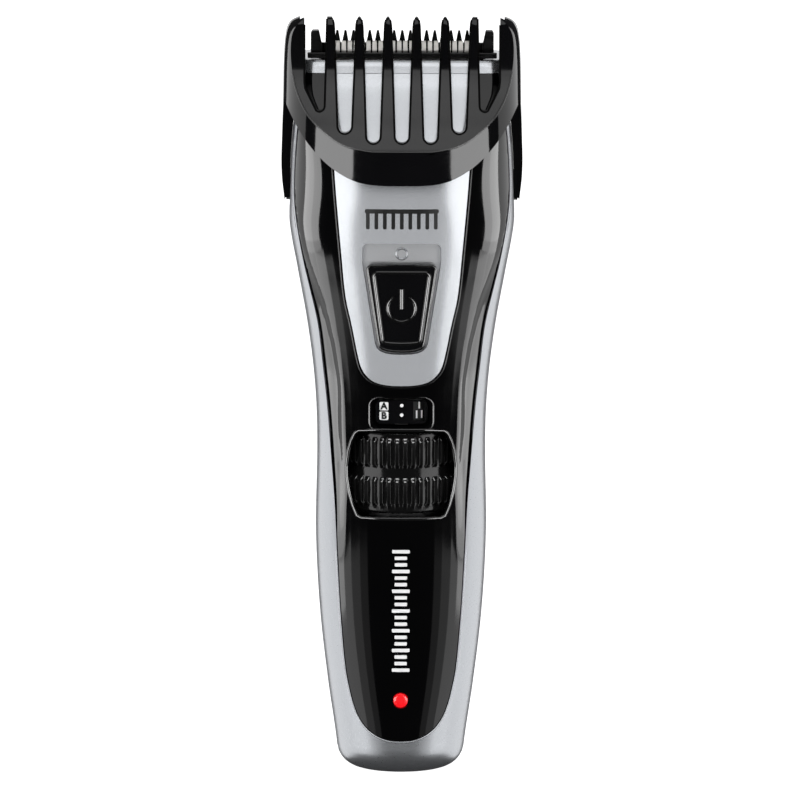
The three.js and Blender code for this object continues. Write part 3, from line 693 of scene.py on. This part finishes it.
def make_rear_shell():
    """Silver rear half that wraps round the sides and the base."""
    cavity = case_form("rear_cavity", -WALL, WALL, CAVITY_TOP, 2 * LEVEL_STEP, False)
    shell = combine(case_form("rear_case", 0.0, dipped=False), cavity)
    cut(shell, front_shell_outline(GAP), SHELL_SPLIT + GAP)
    for left, right in ((-30, -20), (20, 30)):
        combine(shell, box("arm_slot", (left, -3.2, 126), (right, 3.2, 152)))
    for x, z in CASE_SCREWS:
        cut(shell, circle(x, z, 2.2, 32), 25, 5)
    combine(shell, upright_tube("socket_hole", 0, 4.6, 3.4, 0.2, -1, 5, 40, 0.1))
    return smoothed(shell)


rear_shell = make_rear_shell()
finish(rear_shell, silver_paint, "housing", ["rear_shell"])


def surface_path(outline, grow=0.0):
    """Outline in x and z laid on the case's front surface."""
    return [(x, front_y(x, z, grow), z) for x, z in outline]


def u_line(side):
    """Open line down the left side, round the foot and up the right side."""
    return [(-x, z) for x, z in side[:0:-1]] + side


seam_side = [point for point in front_shell_side(0.45) if point[1] < 152]
seam = rod("shell_edge", surface_path(u_line(seam_side), -0.12), 0.2)
finish(seam, panel_silver, "housing", ())

lip = rod("wheel_lip", surface_path(wheel_opening_outline(0.25), -0.12), 0.42, cyclic=True, sides=4)
finish(lip, edge_black, "housing", ())
rim = rod("window_rim", surface_path(rounded_rectangle(7.2, 79.75, 87.4, 2.1), -0.08), 0.2, cyclic=True)
finish(rim, edge_black, "housing", ())


# ---------- inlay, switch and window ----------

def surface_slice(name, outline, outer, inner, low=78.0):
    """Piece of the front surface inside an outline, between two depths."""
    piece = case_form(name, outer, low)
    combine(piece, case_form(name + "_under", inner, low - 2, 171))
    return combine(piece, front_prism(name + "_area", outline, OUTSIDE, -5), "INTERSECT")


inlay = surface_slice("inlay_plate", panel_outline(), 0.05, -1.0)
cut(inlay, recess_outline())
finish(smoothed(inlay), panel_silver, "housing", ["inlay_panel"])

panel_edge = rod("panel_edge", surface_path(u_line([p for p in panel_side(0.5) if p[1] < 158]), -0.1), 0.17)
finish(panel_edge, gloss_black, "housing", ())

tray = surface_slice("recess_floor", recess_outline(), -1.2, -2.6)
combine(tray, box("tray_slot", (-2.2, -30, 101), (2.2, -5, 112)))
finish(smoothed(tray), tray_silver, "housing", ["switch_tray"])

off_path = [(x, front_y(x, z, -1.35), z) for x, z in circle(0, 120.3, 1.25, 32)]
off_mark = rod("off_mark", off_path, 0.3, cyclic=True)
finish(off_mark, panel_silver, "housing", ())


def frame_outline(grow=0.0):
    """Raised frame round the sunken middle of the power button."""
    corners = arc(3.2, 101.2, 0.9 + grow, -80, -8, 4) + arc(5.15, 115.2, 0.75 + grow, 0, 90, 5)
    return mirrored([(0, 100.15 - grow), (1.8, 100.2 - grow)] + corners)


def make_slider():
    """Power button with a flat rim and a slightly sunken middle."""
    body = surface_slice("power_button", slider_outline(), 0.3, -0.6)
    dish = surface_slice("power_dish", frame_outline(-0.1), 3.0, 0.05)
    combine(body, dish)
    return smoothed(body)


def on_slider(points, lift):
    """Points in x and z laid over the slider's surface."""
    return [(x, front_y(x, z, lift), z) for x, z in points]


finish(make_slider(), gloss_black, "power_slider", ["power_slider"])
button_edge = rod("button_edge", on_slider(slider_outline(-0.3), 0.2), 0.32, cyclic=True)
button_frame = rod("button_frame", on_slider(frame_outline(0.3), 0.26), 0.48, cyclic=True)
finish(button_edge, edge_black, "power_slider", ())
finish(button_frame, edge_black, "power_slider", ())

ring_arc = arc(0, SYMBOL_HEIGHT, 3.1, 122, 418, 40)
power_ring = rod("power_ring", on_slider(ring_arc, -0.02), 0.42, sides=4)
bar_line = [(0, SYMBOL_HEIGHT + rise) for rise in np.linspace(-0.1, 4.4, 7)]
power_bar = rod("power_bar", on_slider(bar_line, -0.02), 0.5, sides=4)
power_mark = joined("power_mark", [power_ring, power_bar])
finish(power_mark, edge_black, "power_slider", ())


def make_lens():
    """Black window plate with a small clear slot over the numbers."""
    plate = surface_slice("window_plate", rounded_rectangle(5.75, 81.35, 86.65, 1.25), -0.55, -1.35, 72)
    slot = [(2.7, 81.9), (5.3, 81.9), (5.3, 86.4), (2.7, 86.4)]
    return smoothed(cut(plate, slot, front=-30))


finish(make_lens(), gloss_black, "housing", ["window_lens"])


def lettering(name, text, size, place, turn=0.0, weight=0.09):
    """Flat dial mark facing the front, at x, y and z in millimetres."""
    curve = bpy.data.curves.new(name, "FONT")
    curve.body = text
    curve.size = size * MM
    curve.extrude = 0.06 * MM
    curve.offset = weight * MM
    curve.align_x = "CENTER"
    curve.align_y = "CENTER"
    curve.resolution_u = 6
    thing = curve_object(name, curve)
    x, y, z = place
    for vertex in thing.data.vertices:
        across, up, out = vertex.co
        vertex.co = (
            x * MM + across * math.cos(turn) + out * math.sin(turn),
            y * MM + across * math.sin(turn) - out * math.cos(turn),
            z * MM + up,
        )
    return thing


def plate_on_front(name, outline, outer, inner, low):
    """Thin printed shape on the front surface."""
    return smoothed(surface_slice(name, outline, outer, inner, low))


def moved(outline, x, z):
    """Outline shifted in x and z."""
    return [(px + x, pz + z) for px, pz in outline]


for label, middle in (("A", UPPER_MARK), ("B", LOWER_MARK)):
    tile_outline = moved(rounded_rectangle(1.0, -0.95, 0.95, 0.3), -3.9, middle)
    tile = plate_on_front(f"tile_{label}", tile_outline, -0.45, -0.65, 72)
    finish(tile, print_white, "housing", ())
    mark = lettering(f"letter_{label}", label, 2.1, (-3.9, front_y(-3.9, middle, -0.42), middle))
    finish(mark, print_black, "housing", ())
    dot = plate_on_front(f"dot_{label}", circle(0.1, middle + 0.2, 0.4, 20), -0.45, -0.65, 72)
    finish(dot, print_white, "housing", ())


# ---------- length wheel ----------

# Half of one rib: distance from its middle in mm, and height as a share of the rib's height.
RIB_HALF = [(0.08, 1.0), (0.22, 1.0), (0.34, 0.95), (0.44, 0.75), (0.50, 0.45), (0.56, 0.10), (0.62, 0.0)]
RIB_SECTION = [(-across, share) for across, share in RIB_HALF[::-1]] + RIB_HALF


def rib_row_height(z):
    """Share of the rib height that is reached at a height: sloping ends, nothing between the rows."""
    for low, high in RIB_ROWS:
        if low < z < high:
            return min((z - low) / RIB_SLOPE, (high - z) / RIB_SLOPE, 1.0)
    return 0.0


def make_wheel():
    """Wheel with two rows of ribs; the bore lets the carriage tube through."""
    core = WHEEL_RADIUS - RIB_HEIGHT
    rows = [60.6, 60.8, 61.3, 62.2, 62.5, 62.8, 63.1, 65.5, 67.9, 68.2, 68.5, 68.8, 69.0, 69.9, 70.8, 71.0]
    rows += [71.3, 71.6, 71.9, 74.4, 76.9, 77.2, 77.5, 77.8, 78.2, 78.8, 79.1, 79.2]
    bevels = {60.6: 0.6, 60.8: 0.2, 79.1: 0.2, 79.2: 0.6}
    rings = []
    for z in rows:
        ring = []
        for rib in range(WHEEL_RIBS):
            middle_angle = 2 * math.pi * (rib + 0.5) / WHEEL_RIBS
            for across, share in RIB_SECTION:
                angle = middle_angle + across / WHEEL_RADIUS
                radius = core + RIB_HEIGHT * share * rib_row_height(z) - bevels.get(z, 0.0)
                ring.append((radius * math.sin(angle), WHEEL_Y - radius * math.cos(angle), z))
        rings.append(ring)
    wheel = lofted("ribbed_wheel", rings)
    combine(wheel, upright_tube("wheel_bore", 0, WHEEL_Y, 8.5, 0.2, 55, 85, 72, 0.1))
    return smoothed(wheel, 50)


wheel = make_wheel()
finish(wheel, wheel_black, "zoom_wheel", ["zoom_wheel"])
wheel.data.materials.append(rib_black)
for polygon in wheel.data.polygons:
    x, y, _ = polygon.center / MM
    upright = abs(polygon.normal.z) < 0.1
    if upright and math.hypot(x, y - WHEEL_Y) > WHEEL_RADIUS - 0.08:
        polygon.material_index = 1
dial = smoothed(upright_tube("dial_ring", 0, WHEEL_Y, DIAL_RADIUS, 8.6, 79.5, 87.4))
finish(dial, ring_black, "zoom_wheel", ["number_ring"])

FIRST_MARK = math.asin(4.0 / DIAL_RADIUS)
DIGIT_RADIUS = DIAL_RADIUS + 0.03
for setting in range(SETTINGS):
    turn = FIRST_MARK - setting * 2 * math.pi / SETTINGS
    for number, height in ((setting + 1, UPPER_MARK), (setting + 1 + SETTINGS, LOWER_MARK)):
        spot = (DIGIT_RADIUS * math.sin(turn), WHEEL_Y - DIGIT_RADIUS * math.cos(turn), height)
        digits = lettering(f"number_{number}", str(number), 2.4, spot, turn, weight=0.05)
        finish(digits, print_white, "zoom_wheel", ())


# ---------- guide comb ----------

def along_slot(edge):
    """Rounding of an edge between a slot's wall and the comb's front, less towards the thin tips."""
    leans = sorted(face.normal.y for face in edge.link_faces)
    if leans[0] > -0.25 or abs(leans[1]) > 0.02:
        return 0.0
    height = edge.verts[0].co.z / MM
    return float(np.interp(height, (160, 168, 172), (1.0, 0.5, 0.3)))


def make_comb():
    """Comb body: wrapped band, dished face with slots, two side arms."""
    levels = [*np.arange(128, 168, 1.0), *np.arange(168, COMB_TOP, 0.3), COMB_TOP]
    rings = []
    for z in levels:
        half = float(comb_half_width(z))
        depth = float(comb_front(z))
        rings.append(superellipse(z, half, depth, depth, COMB_SQUARENESS))
    comb = lofted("comb_body", rings)
    combine(comb, case_form("comb_space", 0.15, 110, 163.2, 1.3, False))
    above = [
        (-10.9, 158), (-10.9, 164.9), (-10.4, 165.3), (-9.6, 165.8), (-9.2, 168), (-9.0, 180), (30, 180),
        (30, 158),
    ]
    combine(comb, side_prism("head_space", above, -22.9, 22.9))
    combine(comb, box("back_space", (-22.9, -8, 120), (22.9, 40, 181)))
    face = [(float(comb_face(z)), z) for z in np.linspace(COMB_FACE_FOOT, 173, 40)]
    combine(comb, side_prism("face_cut", [(-30, COMB_FACE_FOOT)] + face + [(-30, 173)], -31, 31))
    side_wall = [
        (-12, 154), (-8.4, 154), (-6.6, 151.8), (-5.2, 149), (-4.2, 146), (-3.6, 143), (-3.4, 131.6),
        (-3.2, 130.8), (-2.6, 130.1), (-1.6, 129.7), (1.6, 129.7), (2.6, 130.1), (3.2, 130.8), (3.4, 131.6),
        (3.6, 143), (4.1, 146), (4.8, 149), (5.4, 153), (5.6, 157), (5.5, 161), (4.8, 164.6), (3.2, 167.6),
        (0.8, 169.6), (-2, 170.9), (-5, 172), (-8, 172.9), (-12, 175),
    ]
    behind = box("behind", (-40, -8.4, 100), (40, 41, 200))
    combine(behind, side_prism("side_wall", side_wall, -45, 45))
    combine(comb, behind)
    for i, foot in SLOT_FEET.items():
        cut(comb, slot_outline(i * TOOTH_PITCH, foot))
    for side in (-1, 1):
        cut(comb, corner_slot_outline(side))
    softened(comb, 0.16, 2, 32, along_slot)
    edge = [(x, float(comb_band_edge(x))) for x in np.linspace(-26.6, 26.6, 61)]
    below = [(-40, 120), (40, 120), (40, 154)] + edge[::-1] + [(-40, 154)]
    cut(comb, below, -8.4)
    for left, right in ((-26.3, -24.0), (24.0, 26.3)):
        combine(comb, box("lug_groove", (left, -2.9, 120), (right, 2.9, 136.3)))
    return smoothed(comb, 28)


comb = make_comb()
finish(comb, gloss_black, "comb", ["comb"])
comb.data.materials.append(satin_black)
for polygon in comb.data.polygons:
    spot = polygon.center / MM
    facing = polygon.normal.z > 0.15 and polygon.normal.y < -0.3 and abs(polygon.normal.x) < 0.12
    if facing and 144 < spot.z < SATIN_TOP and abs(spot.y - float(comb_face(spot.z))) < 0.5:
        polygon.material_index = 1


def comb_crease(x):
    """Point where the dished face meets the band, seen at x."""
    for z in np.linspace(COMB_FACE_FOOT + 0.05, 172, 400):
        half = float(comb_half_width(z))
        across = min(abs(x) / half, 1.0)
        band = -float(comb_front(z)) * (1 - across**COMB_SQUARENESS) ** (1 / COMB_SQUARENESS)
        if band < float(comb_face(z)):
            return (x, band + 0.03, z)
    return None


crease_points = [comb_crease(x) for x in np.linspace(-24.6, 24.6, 83)]
crease_points = [point for point in crease_points if point]
crease = rod("comb_edge", crease_points, 0.2)
finish(crease, edge_black, "comb", ())


def evenly(path, step=1.0):
    """Adds points along a path, so that it follows a curved surface."""
    dense = []
    for (x0, z0), (x1, z1) in zip(path, path[1:]):
        count = max(int(math.hypot(x1 - x0, z1 - z0) / step), 1)
        dense += [(x0 + (x1 - x0) * k / count, z0 + (z1 - z0) * k / count) for k in range(count)]
    return dense + [path[-1]]


def slot_rim(name, path):
    """Thin moulding along the edge of one slot in the comb's face."""
    points = [(x, float(comb_face(z)) + 0.1, z) for x, z in evenly(path)]
    finish(rod(name, points, 0.25), rim_black, "comb", ())


for i, foot in SLOT_FEET.items():
    foot_arc, right, left = slot_sides(i * TOOTH_PITCH, foot, 0.05)
    right = [point for point in right if point[1] < RIM_TOP]
    left = [point for point in left if point[1] < RIM_TOP]
    slot_rim(f"slot_rim_{i + 3}", left + foot_arc + right)
for side, label in ((-1, "left"), (1, "right")):
    path = [(16.85, RIM_TOP), (17.05, 163)] + corner_slot_foot() + [(21.9, RIM_TOP - 1.2)]
    slot_rim(f"corner_rim_{label}", [(side * x, z) for x, z in path])


# ---------- blades and head ----------

def blade_outline(half, foot, root, tip, pitch, gap, tip_width):
    """Row of teeth on top of a plate."""
    teeth = int((2 * half) // pitch)
    start = -teeth * pitch / 2
    points = [(-half, root), (-half, foot), (half, foot), (half, root)]
    crown = []
    for i in range(teeth):
        centre = start + pitch * (i + 0.5)
        root_half = (pitch - gap) / 2
        crown += [(centre - root_half, root), (centre - tip_width / 2, tip)]
        crown += [(centre + tip_width / 2, tip), (centre + root_half, root)]
    return points + crown[::-1]


def make_cutter():
    """Steel cutter: flat plate whose teeth are parted by narrow slits."""
    outline = blade_outline(16.7, 155.2, 163.9, 166.9, CUTTER_PITCH, 0.3, 0.98)
    plate = front_prism("cutter_plate", outline, -8.6, -7.6)
    softened(plate, 0.07, 2)
    return smoothed(plate)


cutter = make_cutter()
finish(cutter, blade_steel, "cutter", ["cutter_blade"])


def make_guard():
    """Black guard blade with pointed teeth and two end blocks."""
    outline = blade_outline(18.2, 150.6, 166.3, 169.1, GUARD_PITCH, 0.3, 0.45)
    guard = front_prism("guard_plate", outline, -7.3, -6.1)
    combine(guard, box("guard_window", (-4.4, -12, 154), (4.4, 0, 160)))
    for side in (-1, 1):
        block = [(18.0, 163.3), (20.5, 163.3), (20.5, 168.6), (20.1, 169.2), (18.7, 169.2), (18.0, 166)]
        block = [(side * x, z) for x, z in block]
        block = block if side > 0 else block[::-1]
        combine(guard, front_prism("guard_end", block, -8.6, -6.1), "UNION")
    for x in (-10, 10):
        cut(guard, circle(x, 152.8, 1.2, 24), 0, -12)
    softened(guard, 0.1, 2)
    return smoothed(guard)


finish(make_guard(), blade_black, "housing", ["fixed_blade"])

clamp = softened(box("clamp_bar", (-21.2, -10.3, 163.2), (21.2, -9.0, 164.5)), 0.25, 3)
finish(smoothed(clamp), clamp_black, "housing", ["blade_clamp"])


def make_head_cover():
    """Silver strip under the blades."""
    rings = []
    for z, bevel in ((160.05, 0.05), (160.1, 0.0), (161.4, 0.0), (162.3, 0.0), (162.7, 0.15), (162.9, 0.5)):
        half, front, back, square = section_at(z)
        rings.append(superellipse(z, half - bevel, front - bevel, back - bevel, square))
    cover = lofted("head_strip", rings)
    combine(cover, box("blade_gap", (-18.7, -9.0, 150), (18.7, -5.7, 170)))
    return smoothed(cover)


head_strip = make_head_cover()
finish(head_strip, panel_silver, "housing", ["head_cover"])


# ---------- charging light, scale marks and picture on the panel ----------

dome = []
for y, radius in ((-12.55, 1.65), (-14.55, 1.65), (-14.67, 1.5), (-14.75, 1.1), (-14.79, 0.6)):
    dome.append([(x, y, z) for x, z in circle(0, LIGHT_HEIGHT, radius, 40)])
finish(smoothed(lofted("red_light", dome)), led_red, "housing", ["led_lens"])

for index in range(SCALE_TICKS):
    height = 24.6 + index * TICK_PITCH
    half = 2.0 if index % 3 == 0 else 1.4
    tick = moved(rounded_rectangle(half, -0.4, 0.4, 0.2), 0, height)
    tick = plate_on_front(f"scale_tick_{index:02d}", tick, 0.03, -0.1, 2)
    finish(tick, print_white, "housing", ())

spine = moved(rounded_rectangle(8.3, -0.5, 0.5, 0.4), 0, 130.2)
spine = plate_on_front("comb_mark_spine", spine, 0.09, -0.1, 110)
finish(spine, print_black, "housing", ())
for index in range(PICTURE_TEETH):
    x = (index - PICTURE_TEETH // 2) * PICTURE_PITCH
    tooth = moved(rounded_rectangle(0.42, -1.9, 1.9, 0.3), x, 128.0)
    tooth = plate_on_front(f"comb_mark_tooth_{index}", tooth, 0.09, -0.1, 110)
    finish(tooth, print_black, "housing", ())


# ---------- carried-over nodes ----------

CARRIED = {
    inner_black: [
        "slider_carrier", "wheel_seat", "comb_carriage", "blade_support", "motor_mount",
        "charging_socket", "motor_lead_negative",
    ],
    inner_white: ["drive_lever", "eccentric", "motor_cap", "switch_toggle", "charge_led"],
    steel: [
        *[f"case_screw_{number}" for number in range(1, 5)], "blade_screw_1", "blade_screw_2",
        "mount_screw_1", "mount_screw_2", "motor_can", "motor_shaft", "slide_switch", "blade_spring",
        "wheel_detent",
    ],
    contact_metal: ["battery_contact_top", "battery_contact_bottom", "socket_pin"],
    circuit_green: ["main_board", "switch_board"],
    battery_blue: ["battery_cell"],
    lead_red: ["motor_lead_positive"],
}
for material, nodes in CARRIED.items():
    for node in nodes:
        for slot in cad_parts[node].material_slots:
            slot.material = material


# ---------- stage, light and camera ----------

def make_floor():
    """Pale floor that glossy surfaces don't mirror."""
    size = 4.0
    corners = [(-size, -size, 0), (size, -size, 0), (size, size, 0), (-size, size, 0)]
    mesh = bpy.data.meshes.new("floor")
    mesh.from_pydata(corners, [], [(0, 1, 2, 3)])
    floor = placed("floor", mesh)
    look = {"Base_Color": (0.9, 0.9, 0.9, 1), "Roughness": 0.9, "Specular_IOR_Level": 0.1}
    glow = {"Emission_Color": (1, 1, 1, 1), "Emission_Strength": 0.95}
    mesh.materials.append(new_material("floor_white", **look, **glow)[0])
    floor.visible_glossy = False
    floor.visible_diffuse = False
    floor.visible_shadow = False


def softbox(name, place, aim, width, height, radiance, receivers=None):
    """Rectangular area light with a given brightness; it may light a group of pieces only."""
    light = bpy.data.lights.new(name, "AREA")
    light.shape = "RECTANGLE"
    light.size = width
    light.size_y = height
    light.energy = radiance * math.pi * width * height
    lamp = placed(name, light)
    lamp.location = place
    direction = Vector(aim) - Vector(place)
    lamp.rotation_euler = direction.to_track_quat("-Z", "Y").to_euler()
    lamp.visible_camera = False
    if receivers:
        lamp.light_linking.receiver_collection = receivers


def light_group(name, things, excluded=False):
    """Group of pieces that a light shines on, or that it leaves out."""
    group = bpy.data.collections.new(name)
    for thing in things:
        group.objects.link(thing)
    if excluded:
        for entry in group.collection_objects:
            entry.light_linking.link_state = "EXCLUDE"
    return group


def wall_light(name, azimuths, low, high, radiance, receivers=None, distance=0.5):
    """Upright softbox between two azimuths, left and right; 0 is in front and 90 is to the side."""
    turn = math.radians(sum(azimuths) / 2)
    width = 2 * distance * math.tan(math.radians(azimuths[1] - azimuths[0]) / 2)
    level = (low + high) / 2
    for side, label in ((-1, "left"), (1, "right")):
        place = (side * distance * math.sin(turn), -distance * math.cos(turn), level)
        softbox(f"{name}_{label}", place, (0, 0, level), width, high - low, radiance, receivers)


make_floor()
# The silver pieces, the black shell, the wheel and the cutter have lights of their own.
silver_pieces = [inlay, tray, head_strip, off_mark, rear_shell, seam]
small_gloss = light_group("small_gloss", silver_pieces + [wheel, front_shell], excluded=True)
silver_only = light_group("silver_only", silver_pieces)
shell_only = light_group("shell_only", [front_shell])
wheel_only = light_group("wheel_only", [wheel])
cutter_only = light_group("cutter_only", [cutter])
wall_light("key", (17.5, 62), -0.10, 0.14, 5.0, small_gloss)
wall_light("shell_high", (68, 104), -0.03, 0.14, 4.6, shell_only)
wall_light("shell_middle", (67, 104), -0.068, -0.03, 3.4, shell_only)
wall_light("shell_low", (64, 104), -0.11, -0.068, 2.3, shell_only)
wall_light("low_inner", (26, 36), -0.30, -0.075, 0.2)
wall_light("low_middle", (36, 50), -0.30, -0.075, 0.5)
wall_light("low_outer", (50, 84), -0.30, -0.075, 1.2)
wall_light("side", (84, 150), -0.75, 0.85, 1.0, distance=1.1)
wall_light("silver_side", (23.5, 62), -0.09, 0.14, 1.7, silver_only)
softbox("silver_front", (0, -0.5, -0.03), (0, 0, -0.03), 0.42, 0.14, 0.64, silver_only)
softbox("silver_foot", (0, -0.5, -0.145), (0, 0, -0.145), 0.42, 0.08, 0.14, silver_only)
softbox("silver_head", (0, -0.75, 0.5), (0, 0, 0.16), 0.9, 0.32, 0.75, silver_only)
softbox("cutter_front", (0, -0.5, 0.08), (0, 0, 0.08), 0.4, 0.12, 1.7, cutter_only)
wall_light("wheel_side", (38, 105), -0.066, 0.14, 1.4, wheel_only)
softbox("wheel_top", (0, -0.6, 0.75), (0, 0, 0.07), 1.0, 0.5, 6.0, wheel_only)
softbox("back", (0, 1.2, 0.2), (0, 0, 0.1), 0.5, 1.2, 0.8)
softbox("front_top", (0.0, -0.75, 0.95), (0, 0, 0.12), 1.3, 0.6, 1.0)
softbox("top", (0.0, 0.25, 1.2), (0, 0, 0.12), 1.2, 0.8, 1.2)


def make_world():
    """White to the camera, dim grey to everything else."""
    world = bpy.data.worlds.new("studio")
    bpy.context.scene.world = world
    world.use_nodes = True
    tree = world.node_tree
    tree.nodes.clear()
    path = tree.nodes.new("ShaderNodeLightPath")
    white = tree.nodes.new("ShaderNodeBackground")
    dim = tree.nodes.new("ShaderNodeBackground")
    mix = tree.nodes.new("ShaderNodeMixShader")
    out = tree.nodes.new("ShaderNodeOutputWorld")
    white.inputs["Color"].default_value = (1, 1, 1, 1)
    dim.inputs["Color"].default_value = (0.019, 0.019, 0.02, 1)
    tree.links.new(path.outputs["Is Camera Ray"], mix.inputs["Fac"])
    tree.links.new(dim.outputs["Background"], mix.inputs[1])
    tree.links.new(white.outputs["Background"], mix.inputs[2])
    tree.links.new(mix.outputs["Shader"], out.inputs["Surface"])


make_world()


def make_camera():
    """Long lens in front of the object and a little above it."""
    elevation = math.radians(10)
    distance = 3.0
    frame_width = 0.1806
    roll = Quaternion((0, 0, 1), math.radians(0.15))
    aim = Vector((-0.0003, 0, 0.08375))
    data = bpy.data.cameras.new("camera")
    data.sensor_width = 36
    data.lens = data.sensor_width * distance / frame_width
    camera = placed("camera", data)
    camera.location = aim + Vector((0, -math.cos(elevation), math.sin(elevation))) * distance
    level = Euler((math.pi / 2 - elevation, 0, 0)).to_quaternion()
    camera.rotation_euler = (level @ roll).to_euler()
    data.clip_end = 20
    bpy.context.scene.camera = camera


make_camera()
bpy.context.scene.view_settings.view_transform = "Standard"
bpy.context.scene.view_settings.look = "None"
